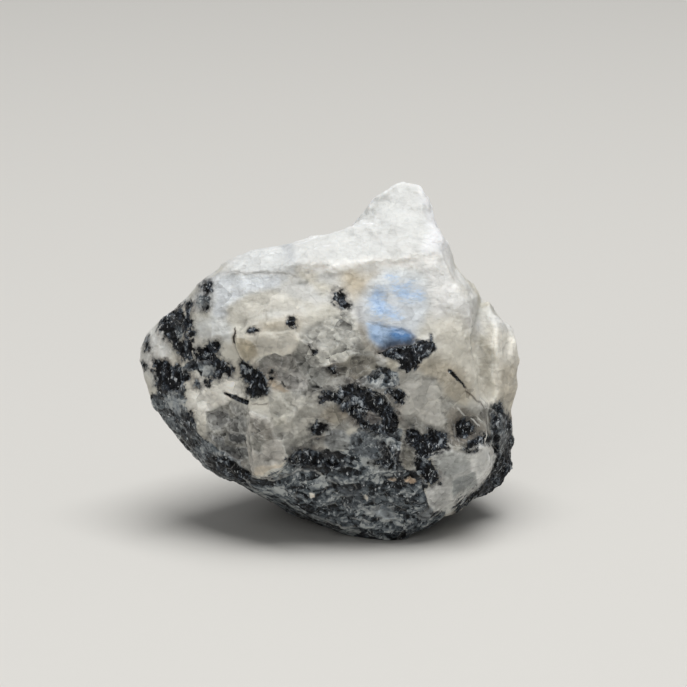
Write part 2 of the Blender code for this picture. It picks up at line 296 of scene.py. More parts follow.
def aGrain(color, outline, clear=1.0, lift=0.0, rim=0.0, keeps=0.0):
    # a grain with its own outline: how clear it is, how far it stands out in mm, how light (above 0) or
    # dark its rim is, and how much of its colour it keeps in the slate
    return dict(color=color, outline=outline, clear=clear, lift=lift, rim=rim, keeps=keeps)


def aTone(color, outline, clear, soft, share=0.9):
    # a broad colour of the feldspar: how clear it is, how soft its edge is in mm, and its strength
    return dict(color=color, outline=outline, clear=clear, soft=soft, share=share)


grains = {
    "middleBed": aGrain((154, 153, 147), clear=0.7, outline=[
        (-11.2, 25.4), (-6.5, 26.0), (-5.0, 28.0), (-3.4, 30.2), (2.2, 32.3), (4.2, 30.0), (5.4, 27.0),
        (7.6, 25.6), (12.0, 23.0), (16.8, 22.0), (18.0, 19.0), (21.0, 17.4), (25.2, 16.8), (26.0, 12.8),
        (18.9, 11.0), (11.9, 13.7), (3.2, 14.0), (-0.8, 10.2), (-1.3, 8.0), (-7.1, 8.4), (-9.4, 15.0),
        (-10.0, 19.4), (-10.6, 21.9), (-13.6, 24.3)]),
    "clearUpper": aGrain((194, 193, 186), clear=0.9, lift=-0.15, outline=[
        (-5.0, 28.0), (-4.2, 28.9), (-2.3, 29.6), (-0.3, 31.2), (2.2, 32.5), (3.8, 31.2), (4.4, 28.6),
        (3.6, 26.6), (2.2, 24.8), (0.3, 24.3), (-1.7, 24.1), (-3.7, 24.7), (-5.0, 26.6)]),
    "creamSheet": aGrain((206, 202, 191), clear=0.2, lift=0.4, outline=[
        (-15.4, 28.5), (-14.7, 28.9), (-11.8, 29.2), (-7.2, 29.4), (-5.3, 29.2), (-5.0, 28.0), (-5.6, 26.6),
        (-6.4, 25.8), (-7.5, 25.5), (-8.3, 25.7), (-9.1, 26.0), (-9.9, 25.8), (-10.8, 25.3), (-11.8, 24.6),
        (-12.7, 24.1), (-13.8, 24.5), (-14.6, 25.1), (-15.1, 26.2)]),
    "sheetCorner": aGrain((184, 175, 155), clear=0.3, lift=-0.1, outline=[
        (-15.1, 28.5), (-13.9, 28.1), (-12.3, 27.6), (-11.8, 26.5), (-11.9, 25.4), (-13.0, 24.5),
        (-14.2, 25.0), (-14.8, 26.1)]),
    "clearMiddle": aGrain((154, 152, 147), lift=-0.12, rim=0.1, outline=[
        (-10.8, 25.1), (-9.9, 25.7), (-9.1, 25.9), (-8.3, 25.5), (-7.5, 25.4), (-6.4, 25.6), (-6.0, 24.7),
        (-6.0, 23.7), (-6.9, 23.3), (-8.5, 22.9), (-9.6, 23.4), (-10.7, 23.7)]),
    "clearBelow": aGrain((158, 156, 151), lift=-0.1, rim=0.3, outline=[
        (-9.6, 23.1), (-7.7, 22.9), (-6.0, 23.4), (-5.2, 23.4), (-4.5, 22.3), (-3.7, 21.0), (-4.0, 19.9),
        (-6.6, 19.9), (-7.5, 20.4), (-9.1, 21.5)]),
    "clearNext": aGrain((152, 152, 147), clear=0.9, lift=-0.1, rim=0.1, outline=[
        (-6.0, 25.5), (-5.0, 24.5), (-2.3, 23.9), (-1.0, 23.1), (-1.0, 21.8), (-1.7, 20.4), (-3.4, 20.2),
        (-3.8, 21.8), (-5.0, 23.7)]),
    "fibreGrain": aGrain((140, 139, 135), clear=0.8, lift=-0.05, rim=0.1, outline=[
        (-6.0, 19.0), (-3.8, 19.6), (-1.7, 19.5), (-1.9, 18.2), (-2.6, 16.9), (-4.0, 16.4), (-5.6, 16.9)]),
    "rustyPatch": aGrain((166, 153, 134), clear=0.6, outline=[
        (-10.2, 21.5), (-8.9, 21.3), (-7.6, 20.5), (-6.9, 19.9), (-7.6, 19.4), (-9.3, 20.0),
        (-10.2, 20.6)]),
    "bedLight": aGrain((178, 176, 168), clear=0.6, outline=[
        (-7.0, 18.8), (-1.8, 19.4), (0.6, 17.6), (-1.6, 15.2), (-3.2, 13.0), (-6.4, 12.2), (-8.2, 14.0),
        (-6.6, 16.6)]),
    "nextBlock": aGrain((166, 164, 155), clear=0.6, lift=0.05, rim=0.15, outline=[
        (-9.6, 19.6), (-7.2, 19.5), (-6.2, 19.9), (-6.0, 18.6), (-5.8, 17.2), (-6.8, 16.5), (-7.2, 14.3),
        (-8.5, 14.1), (-9.6, 14.3), (-9.9, 17.2)]),
    "clearRight": aGrain((134, 131, 122), clear=0.9, lift=-0.2, rim=0.2, outline=[
        (-0.2, 24.1), (1.1, 24.4), (2.6, 24.7), (3.0, 25.5), (5.2, 25.5), (7.0, 25.4), (7.6, 23.5),
        (6.4, 22.8), (4.8, 21.6), (3.8, 21.3), (1.9, 22.2), (0.5, 21.6), (-0.5, 22.2), (-1.2, 23.1)]),
    "clearDark": aGrain((110, 111, 109), lift=-0.1, rim=0.4, outline=[
        (3.6, 21.0), (4.6, 21.9), (6.4, 22.8), (7.6, 23.3), (8.5, 22.6), (8.3, 21.6), (7.9, 20.4),
        (7.0, 19.8), (5.8, 20.3), (4.5, 20.7)]),
    "creamBit": aGrain((172, 167, 153), clear=0.6, lift=0.1, outline=[
        (9.0, 25.3), (10.4, 24.8), (11.0, 23.9), (10.4, 23.1), (9.3, 23.2), (9.0, 24.2)]),
    "paleBit": aGrain((160, 157, 148), clear=0.7, lift=0.1, outline=[
        (10.8, 22.9), (11.7, 23.3), (12.3, 22.8), (11.8, 21.9), (11.0, 21.7)]),
    "largeGrain": aGrain((196, 194, 187), clear=0.35, lift=0.1, outline=[
        (10.7, 20.4), (12.3, 21.4), (13.7, 21.3), (15.8, 21.7), (16.8, 21.0), (17.1, 19.2), (17.8, 18.1),
        (17.5, 16.8), (18.4, 15.1), (18.0, 13.8), (16.4, 14.0), (14.8, 14.8), (13.7, 16.0), (11.8, 15.9),
        (10.7, 16.6), (10.4, 17.2), (11.4, 18.1), (12.0, 19.2)]),
    "rustyBit": aGrain((142, 137, 126), clear=0.8, outline=[
        (-1.1, 16.9), (0.4, 17.5), (1.9, 17.2), (2.7, 16.0), (2.0, 14.8), (0.7, 14.3), (-0.9, 14.4),
        (-1.8, 15.6)]),
    "dotGrain": aGrain((128, 124, 116), clear=0.8, lift=-0.05, outline=[
        (18.4, 16.3), (19.6, 17.2), (21.6, 17.0), (23.6, 15.4), (24.6, 14.2), (25.7, 12.7), (23.6, 12.4),
        (22.8, 11.7), (21.2, 10.8), (19.4, 10.6), (18.5, 12.4)]),
    "darkGrain": aGrain((112, 110, 104), clear=0.9, lift=-0.1, outline=[
        (23.9, 16.3), (25.0, 17.0), (26.1, 16.0), (26.4, 14.2), (25.9, 12.9), (25.0, 14.2), (24.1, 15.2)]),
    "lowGrain": aGrain((196, 196, 193), clear=0.5, lift=0.2, rim=0.3, keeps=1.0, outline=[
        (15.7, 9.3), (17.1, 10.0), (19.4, 10.2), (21.4, 9.7), (22.8, 9.9), (23.6, 10.9), (25.0, 11.3),
        (25.9, 10.6), (26.1, 9.7), (26.8, 9.5), (26.1, 8.4), (25.9, 7.0), (25.0, 5.7), (23.2, 4.1),
        (21.2, 2.9), (19.4, 1.5), (18.0, 0.2), (16.4, 0.4), (15.5, 2.2), (15.3, 3.8), (16.9, 4.7),
        (17.4, 5.7), (16.6, 8.1)]),
    "lowClear": aGrain((174, 176, 174), clear=0.5, lift=-0.05, outline=[
        (17.1, 9.7), (19.4, 10.0), (21.6, 9.5), (22.3, 8.4), (22.3, 7.0), (19.3, 5.9), (17.5, 6.3),
        (16.6, 8.1)]),
    "lowWhite": aGrain((214, 214, 211), clear=0.3, lift=0.12, rim=0.3, outline=[
        (22.3, 9.0), (23.6, 10.9), (25.0, 11.3), (25.9, 10.6), (26.1, 9.7), (26.8, 9.5), (25.9, 8.1),
        (25.9, 7.0), (25.0, 5.7), (23.4, 4.7), (22.5, 7.0)]),
    "lowSquare": aGrain((150, 153, 152), clear=0.4, lift=-0.2, rim=0.35, outline=[
        (19.4, 5.5), (23.0, 6.9), (23.6, 4.7), (19.7, 2.4)]),
    "greyBed": aGrain((134, 133, 127), clear=0.9, lift=-0.05, outline=[
        (-20.2, 16.2), (-18.2, 17.0), (-16.4, 18.0), (-14.8, 18.3), (-13.4, 17.6), (-13.3, 14.0),
        (-13.3, 9.2), (-12.9, 6.3), (-14.2, 7.2), (-16.8, 9.3), (-18.7, 10.5), (-19.8, 12.2)]),
    "greyFirst": aGrain((137, 137, 134), lift=-0.1, rim=0.4, outline=[
        (-20.0, 16.1), (-18.2, 16.6), (-17.0, 16.7), (-16.8, 15.6), (-17.0, 14.6), (-17.7, 13.3),
        (-19.4, 13.8), (-20.0, 14.7)]),
    "greySecond": aGrain((167, 166, 161), rim=0.4, outline=[
        (-16.1, 17.9), (-14.8, 18.1), (-13.6, 17.5), (-13.9, 16.4), (-14.7, 15.9), (-15.9, 16.1),
        (-16.7, 17.0)]),
    "greyThird": aGrain((135, 135, 132), rim=0.4, outline=[
        (-16.7, 15.2), (-15.1, 15.6), (-13.9, 15.8), (-13.6, 14.6), (-13.6, 13.0), (-15.4, 12.7),
        (-16.7, 13.5)]),
    "greyFourth": aGrain((80, 81, 81), lift=-0.05, rim=0.4, outline=[
        (-16.5, 12.9), (-14.7, 13.0), (-13.6, 12.7), (-13.7, 11.6), (-15.0, 11.3), (-16.1, 11.5),
        (-16.7, 12.1)]),
    "greyFifth": aGrain((119, 120, 118), lift=-0.05, rim=0.4, outline=[
        (-19.6, 13.2), (-18.5, 12.6), (-17.3, 12.1), (-17.0, 11.2), (-15.4, 10.9), (-13.6, 10.7),
        (-13.3, 9.3), (-15.1, 8.7), (-16.8, 9.6), (-18.5, 10.6), (-19.1, 11.8)]),
    "greySixth": aGrain((134, 133, 127), clear=0.8, rim=0.4, outline=[
        (-15.1, 8.6), (-13.4, 9.0), (-13.0, 7.5), (-13.0, 6.3), (-13.9, 7.2)]),
    "cleavedBlock": aGrain((177, 174, 167), clear=0.6, lift=0.15, rim=0.5, outline=[
        (-13.3, 16.4), (-11.6, 15.8), (-10.2, 15.3), (-9.4, 14.3), (-9.0, 12.4), (-8.2, 12.1), (-7.5, 10.6),
        (-7.0, 9.2), (-7.1, 8.1), (-7.8, 7.2), (-10.1, 6.7), (-11.1, 6.0), (-12.7, 6.1), (-13.0, 7.5),
        (-13.3, 9.3), (-13.6, 12.1), (-13.4, 14.3)]),
    "blockUpper": aGrain((148, 145, 138), clear=0.9, rim=0.2, outline=[
        (-13.0, 15.6), (-10.5, 15.3), (-9.6, 14.0), (-9.3, 12.1), (-10.2, 11.6), (-11.8, 12.6),
        (-13.0, 13.0), (-13.4, 14.6)]),
    "blockLeft": aGrain((138, 137, 131), clear=0.9, lift=-0.1, rim=0.4, outline=[
        (-13.0, 12.9), (-11.4, 12.4), (-10.5, 11.6), (-11.1, 10.6), (-11.6, 9.5), (-12.5, 10.0),
        (-13.1, 10.9)]),
    "blockFoot": aGrain((182, 174, 160), clear=0.3, rim=0.2, outline=[
        (-12.3, 7.6), (-10.0, 7.6), (-8.4, 7.8), (-7.6, 8.2), (-7.9, 7.3), (-10.1, 6.7), (-11.1, 6.1),
        (-12.6, 6.2)]),
    "plateLeft": aGrain((134, 136, 135), lift=0.05, rim=0.15, keeps=0.55, outline=[
        (-0.7, 13.5), (1.7, 13.7), (3.3, 12.4), (3.0, 10.2), (0.1, 9.7), (-1.0, 11.0)]),
    "plateCentre": aGrain((106, 112, 117), rim=0.1, keeps=0.55, outline=[
        (3.3, 12.9), (5.7, 13.5), (7.9, 11.8), (8.9, 9.7), (7.1, 8.3), (4.4, 8.9), (2.8, 10.2)]),
    "plateBrown": aGrain((108, 107, 101), keeps=0.5, outline=[
        (11.4, 11.8), (12.7, 12.4), (13.5, 10.2), (13.2, 7.5), (11.9, 7.0), (11.1, 8.9)]),
    "arcLens": aGrain((96, 98, 100), clear=0.8, rim=0.2, keeps=0.8, outline=[
        (5.1, 15.6), (6.1, 16.5), (7.3, 16.0), (8.2, 15.1), (7.9, 14.3), (6.7, 14.3), (5.5, 14.8)]),
    "plateLow": aGrain((86, 91, 96), clear=0.7, lift=-0.1, rim=0.3, keeps=0.5, outline=[
        (-0.7, 5.7), (1.7, 5.4), (4.1, 3.8), (5.7, 2.2), (5.2, 0.8), (3.3, 0.0), (2.2, 1.9), (0.1, 4.0)]),
    "plateLight": aGrain((148, 154, 157), clear=0.8, lift=0.1, rim=0.4, keeps=0.8, outline=[
        (6.3, 0.5), (10.0, 1.1), (10.3, -1.3), (7.1, -0.8)]),
    "plateRight": aGrain((98, 105, 110), clear=0.7, lift=0.05, rim=0.2, keeps=0.5, outline=[
        (7.1, 2.4), (11.4, 2.7), (12.4, 0.5), (10.3, 0.0), (7.1, 0.8)]),
    "plateEnd": aGrain((120, 124, 126), clear=0.6, lift=0.05, rim=0.2, keeps=0.7, outline=[
        (13.8, 0.0), (16.2, 1.2), (16.4, 0.0), (15.4, -1.1), (14.1, -0.8)]),
    "rindPale": aGrain((128, 134, 138), clear=0.6, keeps=0.5, outline=[
        (-27.3, 18.6), (-25.2, 19.4), (-24.0, 18.2), (-24.2, 16.2), (-25.0, 14.8), (-26.6, 16.0)]),
    "whiteFleck": aGrain((220, 212, 200), clear=0.6, lift=0.15, keeps=0.8, outline=[
        (-3.7, 3.5), (-2.9, 3.6), (-2.5, 2.9), (-3.1, 2.3), (-3.7, 2.6)]),
    "paleFleck": aGrain((176, 170, 158), lift=0.12, keeps=0.8, outline=[
        (5.1, 3.1), (5.9, 2.9), (6.5, 2.1), (6.1, 1.7), (5.5, 2.2)]),
    "rustFleck": aGrain((180, 160, 138), lift=0.1, keeps=0.72, outline=[
        (8.7, 5.9), (9.8, 6.2), (10.8, 5.8), (10.2, 5.3), (9.2, 5.4)]),
    "rustFleckRight": aGrain((178, 154, 130), lift=0.1, keeps=0.7, outline=[
        (11.4, 5.7), (12.6, 6.0), (13.9, 5.4), (13.8, 4.9), (12.6, 4.8), (11.8, 5.2)]),
}

# Light edges and dark cracks that cross the grains: strength, above 0 light and below 0 dark.
lines = [
    (-0.9, [(-15.5, 29.5), (-15.7, 28.6), (-15.5, 27.5)]),
    (-0.3, [(-15.4, 27.2), (-15.0, 25.9), (-14.6, 24.7)]),
    (-0.4, [(-12.4, 17.6), (-11.5, 17.5), (-10.5, 17.6)]),
    (-0.5, [(21.9, 19.7), (23.6, 18.1), (24.6, 17.2)]),
    (-0.22, [
        (-16.5, 38.8), (-14.2, 38.9), (-12.5, 38.9), (-10.4, 38.8), (-8.7, 38.8), (-6.7, 38.5),
        (-5.7, 38.1)]),
    (1.0, [
        (-11.9, 24.5), (-10.8, 25.3), (-9.9, 25.8), (-9.1, 25.9), (-8.3, 25.7), (-7.5, 25.5),
        (-6.5, 25.7)]),
    (0.7, [(-14.7, 28.5), (-13.5, 28.0), (-12.2, 27.6), (-11.8, 26.6)]),
    (1.0, [
        (-2.5, 24.1), (-1.3, 24.1), (0.2, 24.3), (1.0, 24.5), (2.6, 24.7), (2.9, 25.6), (3.8, 26.0),
        (5.2, 25.7)]),
    (0.6, [(-6.1, 25.4), (-5.3, 24.2), (-4.4, 22.7), (-3.6, 20.8)]),
    (0.5, [(-5.0, 24.5), (-4.0, 22.7), (-2.9, 21.2)]),
    (0.5, [(-1.4, 29.6), (-0.6, 28.6), (0.3, 27.4)]),
    (0.4, [(-0.9, 29.3), (-0.1, 27.8)]),
    (0.4, [(-8.8, 23.1), (-7.5, 22.9), (-6.0, 23.4)]),
    (0.6, [(4.5, 20.3), (6.1, 19.5), (7.0, 19.0)]),
    (0.6, [(2.0, 18.1), (2.6, 18.8), (3.3, 17.8), (3.0, 17.0)]),
    (0.6, [(7.6, 19.1), (8.8, 18.2), (9.8, 16.8), (10.5, 15.7)]),
    (0.5, [(8.3, 19.5), (9.3, 18.2), (10.4, 16.8)]),
    (0.8, [(3.8, 21.0), (4.8, 21.7), (6.4, 22.8), (7.6, 23.3)]),
    (0.7, [(8.5, 22.5), (8.0, 21.0), (7.6, 20.3)]),
    (1.0, [(20.4, 17.0), (21.4, 16.0)]),
    (1.2, [(22.7, 15.2), (23.7, 14.2)]),
    (1.0, [(23.8, 15.4), (24.3, 15.0)]),
    (0.4, [(19.6, 14.7), (19.7, 13.5), (20.0, 12.2), (20.7, 11.7)]),
    (0.4, [(19.4, 16.1), (19.3, 15.1), (19.7, 13.8)]),
    (1.0, [(18.7, 11.3), (19.6, 10.6), (21.2, 10.6)]),
    (0.8, [(25.2, 17.0), (26.1, 16.7), (26.8, 16.0)]),
    (0.9, [(-11.0, 12.3), (-10.5, 11.6), (-11.1, 10.6), (-11.4, 9.6)]),
    (0.8, [(-13.0, 13.0), (-11.8, 12.6), (-10.1, 11.6)]),
    (0.8, [(-8.8, 12.4), (-8.4, 12.1), (-7.6, 10.7), (-7.1, 9.3)]),
    (1.3, [(-14.1, 15.8), (-13.3, 16.6), (-13.6, 15.4)]),
    (1.0, [(-16.8, 15.6), (-16.5, 14.6)]),
    (0.8, [(-16.1, 15.6), (-14.7, 15.9), (-13.6, 16.7)]),
    (1.2, [(-17.6, 12.1), (-17.0, 11.5), (-16.1, 11.2), (-15.0, 11.0)]),
    (0.7, [(-20.0, 14.6), (-18.8, 14.1), (-17.4, 13.4), (-16.9, 14.5), (-16.8, 16.4), (-16.3, 17.2)]),
    (0.6, [(-16.7, 13.3), (-15.2, 13.0), (-13.6, 12.9)]),
    (0.5, [(-19.4, 12.4), (-17.9, 12.4), (-16.8, 12.9), (-16.7, 14.6)]),
    (0.7, [(-19.4, 13.8), (-18.4, 13.3), (-17.6, 13.0)]),
    (0.8, [(-13.4, 9.0), (-15.1, 8.6)]),
    (0.7, [(-11.3, 6.0), (-9.9, 5.8), (-8.4, 6.1), (-6.8, 6.3)]),
    (0.7, [
        (-12.7, 5.8), (-11.3, 5.5), (-9.9, 5.2), (-8.4, 5.5), (-7.0, 6.0), (-5.0, 7.0), (-2.6, 6.7),
        (-1.0, 5.4), (0.6, 4.6)]),
    (0.8, [(-13.7, 5.3), (-13.0, 4.6), (-12.2, 4.0), (-11.0, 2.9), (-9.8, 1.6)]),
    (0.5, [(-26.7, 15.0), (-25.3, 13.3), (-23.4, 11.2), (-21.7, 9.2), (-20.7, 8.4), (-19.4, 7.8)]),
    (0.6, [(0.1, 3.0), (1.7, 1.9), (2.8, 0.0), (3.3, 0.8)]),
    (0.7, [(-3.7, -0.3), (-1.0, -1.3), (2.2, -2.4), (3.8, -2.1)]),
    (0.5, [(-1.0, -0.8), (1.7, -0.3), (4.4, -0.8), (6.0, -1.6)]),
    (0.6, [(6.0, 0.0), (7.9, -1.1), (10.0, -1.6)]),
    (0.7, [(8.7, 11.0), (9.8, 9.4), (10.6, 7.8)]),
    (0.8, [(15.9, -1.1), (17.5, 0.0), (18.9, 1.4), (20.5, 2.4), (24.0, 4.4)]),
    (0.5, [(19.0, 42.2), (19.9, 40.5), (20.5, 37.9), (21.2, 36.2)]),
    (0.4, [(23.6, 27.1), (23.6, 25.5), (23.6, 23.8), (23.9, 22.4), (24.3, 21.0)]),
    (0.5, [(26.1, 28.9), (26.1, 26.9), (25.9, 24.6), (26.1, 22.4)]),
    (0.5, [(15.9, 41.9), (16.1, 40.2), (15.9, 38.5)]),
    (-0.16, [(6.2, 30.8), (7.7, 30.4), (9.4, 30.1), (11.8, 29.8), (12.9, 29.1), (13.4, 28.2)]),
]

# Each of these lies over the one before.
tones = {
    "leftGrey": aTone((186, 188, 190), clear=0.3, soft=0.8, outline=[
        (-22.0, 35.1), (-20.9, 37.6), (-18.6, 39.3), (-16.7, 38.8), (-18.7, 37.9), (-19.1, 36.2),
        (-19.1, 34.5), (-19.8, 33.4), (-20.9, 32.8), (-22.0, 32.8)]),
    "bandLeft": aTone((216, 218, 217), clear=0.12, soft=0.8, outline=[
        (-16.5, 39.1), (-15.9, 40.5), (-14.3, 42.0), (-12.5, 42.9), (-9.7, 43.2), (-6.3, 44.1),
        (-5.8, 42.5), (-5.3, 40.0), (-5.0, 38.6), (-6.7, 38.6), (-10.1, 38.9), (-13.5, 38.9)]),
    "bandShade": aTone((204, 207, 209), clear=0.15, soft=0.8, share=0.8, outline=[
        (-8.0, 43.2), (-6.2, 44.1), (-5.6, 42.0), (-6.4, 40.6), (-7.2, 41.6)]),
    "brow": aTone((222, 223, 220), clear=0, soft=1.2, outline=[
        (-5.7, 42.3), (-5.3, 43.7), (-1.9, 46.4), (3.2, 47.0), (8.3, 54.0), (14.0, 54.0), (16.0, 46.0),
        (13.9, 40.6), (10.0, 39.9), (5.8, 40.3), (0.7, 39.1), (-3.1, 39.1), (-5.3, 39.7)]),
    "facetLeft": aTone((220, 224, 227), clear=0.3, soft=0.9, share=0.95, outline=[
        (-19.1, 36.2), (-18.6, 38.1), (-16.5, 38.6), (-12.5, 38.8), (-9.1, 38.6), (-7.2, 38.1),
        (-8.4, 36.6), (-10.8, 35.9), (-12.8, 35.6), (-14.7, 34.5), (-16.4, 33.5), (-16.9, 31.8),
        (-18.2, 30.6), (-19.4, 32.0), (-19.4, 33.7), (-18.9, 34.9)]),
    "facetLow": aTone((214, 216, 214), clear=0.2, soft=1.0, outline=[
        (-21.6, 31.0), (-19.4, 32.0), (-17.0, 31.4), (-16.0, 30.0), (-16.0, 27.8), (-18.2, 28.2),
        (-20.6, 28.0), (-22.2, 28.6)]),
    "facetPale": aTone((208, 208, 204), clear=0.1, soft=0.6, outline=[
        (-8.4, 36.2), (-7.0, 37.3), (-5.0, 37.6), (-3.6, 36.4), (-3.0, 35.2), (-4.0, 34.2), (-5.8, 34.5),
        (-7.5, 35.4)]),
    "creamUpper": aTone((205, 202, 192), clear=0.2, soft=0.7, outline=[
        (-16.2, 32.8), (-14.8, 34.2), (-12.8, 35.4), (-10.1, 35.7), (-7.4, 35.2), (-5.0, 34.0),
        (-5.3, 32.8), (-7.4, 32.5), (-9.4, 32.7), (-11.8, 31.8), (-13.8, 30.5), (-16.4, 31.0)]),
    "underBrow": aTone((215, 211, 198), clear=0.25, soft=0.7, outline=[
        (-5.5, 39.6), (-2.1, 39.0), (-2.3, 37.3), (-0.9, 37.1), (0.6, 36.2), (-1.6, 35.2), (-2.6, 36.2),
        (-4.0, 37.6), (-5.7, 38.6)]),
    "stain": aTone((203, 191, 168), clear=0.15, soft=1.8, outline=[
        (1.6, 39.0), (3.6, 39.6), (5.6, 38.4), (7.2, 38.6), (7.0, 37.0), (5.8, 35.9), (3.7, 34.8),
        (2.4, 35.6), (1.8, 37.2)]),
    "rustStain": aTone((198, 184, 158), clear=0.2, soft=1.2, share=0.5, outline=[
        (-11.6, 30.6), (-8.6, 31.4), (-5.4, 32.4), (-4.4, 31.0), (-5.2, 29.6), (-8.6, 29.6),
        (-11.4, 29.4)]),
    # painted light: a near-white band under the brow's edge, lifting the shade that its overhang casts
    "paintedLightUnderBrow": aTone((252, 250, 244), clear=0.05, soft=0.6, share=0.85, outline=[
        (-5.4, 40.0), (-3.0, 40.4), (1.0, 40.6), (5.8, 41.2), (10.0, 41.2), (14.5, 42.0), (17.4, 41.8),
        (16.6, 40.0), (11.0, 39.4), (6.4, 39.6), (1.2, 39.1), (-3.0, 38.9), (-5.4, 39.0)]),
    "rightFace": aTone((233, 233, 231), clear=0.05, soft=1.6, outline=[
        (13.9, 40.1), (18.5, 41.8), (20.4, 37.6), (21.7, 34.6), (23.6, 29.1), (20.2, 31.6), (16.4, 30.8),
        (16.0, 34.2), (14.7, 37.6)]),
    "creamRight": aTone((215, 211, 199), clear=0.15, soft=1.8, outline=[
        (16.4, 30.8), (20.7, 32.5), (24.0, 28.2), (25.7, 22.3), (26.2, 18.0), (22.8, 18.5), (18.5, 20.6),
        (14.7, 22.3), (14.7, 24.8), (16.8, 27.0)]),
    "creamLow": aTone((180, 172, 155), clear=0.35, soft=1.2, share=0.85, outline=[
        (13.6, 24.0), (17.6, 25.4), (21.4, 23.0), (23.2, 19.6), (22.0, 17.6), (18.4, 17.8), (17.4, 20.8),
        (14.6, 22.0)]),
    "lobe": aTone((227, 223, 212), clear=0.25, soft=1.0, outline=[
        (24.5, 30.8), (27.0, 29.9), (31.0, 28.2), (31.2, 24.8), (30.6, 20.6), (29.6, 16.3), (27.4, 18.0),
        (26.0, 17.2), (26.2, 22.3), (24.9, 26.5)]),
    "lobeLow": aTone((196, 189, 174), clear=0.35, soft=1.2, outline=[
        (27.0, 24.0), (31.2, 25.0), (31.0, 20.0), (29.8, 15.0), (27.6, 17.6), (26.8, 20.0)]),
    "valley": aTone((188, 183, 170), clear=0.35, soft=0.9, share=0.8, outline=[
        (23.8, 29.0), (25.8, 28.6), (25.7, 24.6), (26.0, 20.0), (24.4, 19.6), (23.8, 23.6)]),
    "tipPatch": aTone((214, 214, 210), clear=0.3, soft=0.5, share=0.95, outline=[
        (-29.9, 29.1), (-28.2, 30.0), (-27.2, 29.2), (-26.2, 27.6), (-25.7, 26.2), (-26.2, 24.9),
        (-29.1, 25.2), (-30.6, 24.4), (-31.2, 26.0)]),
    "lowLeft": aTone((238, 235, 226), clear=0.5, soft=0.8, outline=[
        (-23.3, 19.5), (-21.6, 21.6), (-18.4, 21.6), (-15.9, 21.9), (-14.2, 20.6), (-13.8, 18.8),
        (-16.0, 18.4), (-17.6, 17.2), (-20.3, 16.8), (-20.3, 14.2), (-19.9, 11.6), (-21.4, 12.2),
        (-22.3, 15.9)]),
    "lowLeftLow": aTone((192, 189, 179), clear=0.6, soft=0.7, outline=[
        (-22.8, 16.6), (-20.6, 16.4), (-20.2, 13.8), (-19.4, 11.4), (-17.0, 9.8), (-15.2, 8.8),
        (-18.8, 9.6), (-20.6, 11.2), (-21.6, 12.6)]),
    "sheenBed": aTone((204, 209, 213), clear=0.1, soft=1.2, outline=[
        (4.9, 34.6), (6.0, 36.7), (8.8, 38.6), (11.7, 38.9), (14.3, 38.2), (15.6, 36.3), (16.0, 33.3),
        (14.9, 30.8), (13.4, 28.6), (11.7, 27.0), (9.6, 26.5), (7.3, 26.8), (6.0, 28.2), (4.9, 30.8)]),
    # painted light: the top of the sheen's bed made lighter where it lies in shade under the brow
    "paintedLightOnSheenTop": aTone((224, 228, 229), clear=0.1, soft=0.8, share=0.8, outline=[
        (5.8, 37.0), (8.6, 39.4), (12.0, 39.8), (15.0, 38.9), (15.6, 37.0), (12.0, 37.3), (8.6, 36.8)]),
    "sheenEdge": aTone((176, 177, 178), clear=0.2, soft=0.5, share=0.8, outline=[
        (4.2, 34.2), (5.0, 34.0), (5.2, 31.6), (5.8, 29.0), (5.0, 29.4), (4.2, 31.8)]),
    "sheenBorder": aTone((152, 146, 134), clear=0.4, soft=0.6, share=0.8, outline=[
        (3.9, 31.0), (5.0, 30.6), (5.8, 28.7), (6.9, 27.2), (8.8, 26.3), (7.4, 25.2), (5.6, 25.9),
        (4.2, 27.8)]),
    "sheenLow": aTone((136, 164, 197), clear=0.2, soft=0.6, outline=[
        (5.9, 30.2), (7.2, 30.6), (9.4, 30.1), (11.8, 29.8), (13.0, 29.0), (13.6, 27.8), (12.0, 27.2),
        (9.6, 26.8), (7.6, 27.0), (6.2, 28.4)]),
    "sheenCore": aTone((92, 140, 194), clear=0.2, soft=0.6, outline=[
        (9.5, 29.4), (11.2, 29.9), (12.6, 29.2), (13.3, 28.5), (12.4, 27.9), (10.8, 27.9), (9.5, 28.3)]),
    "sheenShade": aTone((58, 70, 88), clear=0.2, soft=0.5, outline=[
        (7.6, 26.8), (9.6, 27.9), (11.0, 28.0), (12.3, 28.2), (13.3, 28.8), (13.9, 28.2), (13.4, 27.2),
        (12.4, 26.6), (11.0, 26.4), (9.2, 26.0), (7.8, 26.0)]),
}

# Where the blue light shows: middle, length and width in mm, angle in degrees, strength.
sheenGlows = [
    ((9.7, 38.4), 1.6, 0.7, 0, 0.5), ((12.1, 37.3), 2.2, 0.9, 0, 0.45), ((7.2, 34.8), 2.0, 1.1, 60, 0.9),
    ((8.0, 33.0), 1.6, 1.0, 70, 0.85), ((11.7, 35.4), 2.1, 1.1, -25, 0.9),
    ((14.6, 35.3), 1.1, 1.6, 0, 0.45), ((10.0, 32.2), 1.8, 0.9, -20, 0.75), ((9.6, 33.0), 5.0, 4.2, 0, 0.2),
    ((7.4, 29.9), 1.7, 0.9, -10, 0.9), ((11.2, 29.1), 1.7, 0.8, -22, 0.4),
    ((8.4, 28.2), 1.8, 1.0, -30, 0.45),
]


def inFrontView(points):
    # where points are seen from the front, in mm right of and above the origin; near ones look larger
    larger = viewDistance / (viewDistance - points @ towardsViewer)
    right, rise = viewMiddle
    return right + (points[:, 0] - right) * larger, rise + (points @ viewUp - rise) * larger


def seenFromFront(normals):
    # 1 where the surface faces the viewer, down to 0 where it turns away
    return ramp(normals @ towardsViewer, 0.0, 0.18)


def ragged(points, amount):
    # the front view's places, shaken so that drawn outlines become broken ones
    wide, narrow, narrowShare = 2.4, 0.7, 0.4
    u, v = inFrontView(points)
    u = u + amount * (fractal(points, wide, 3, 11.3) + narrowShare * fractal(points, narrow, 2, 17.1))
    v = v + amount * (fractal(points, wide, 3, 23.7) + narrowShare * fractal(points, narrow, 2, 29.9))
    return u, v


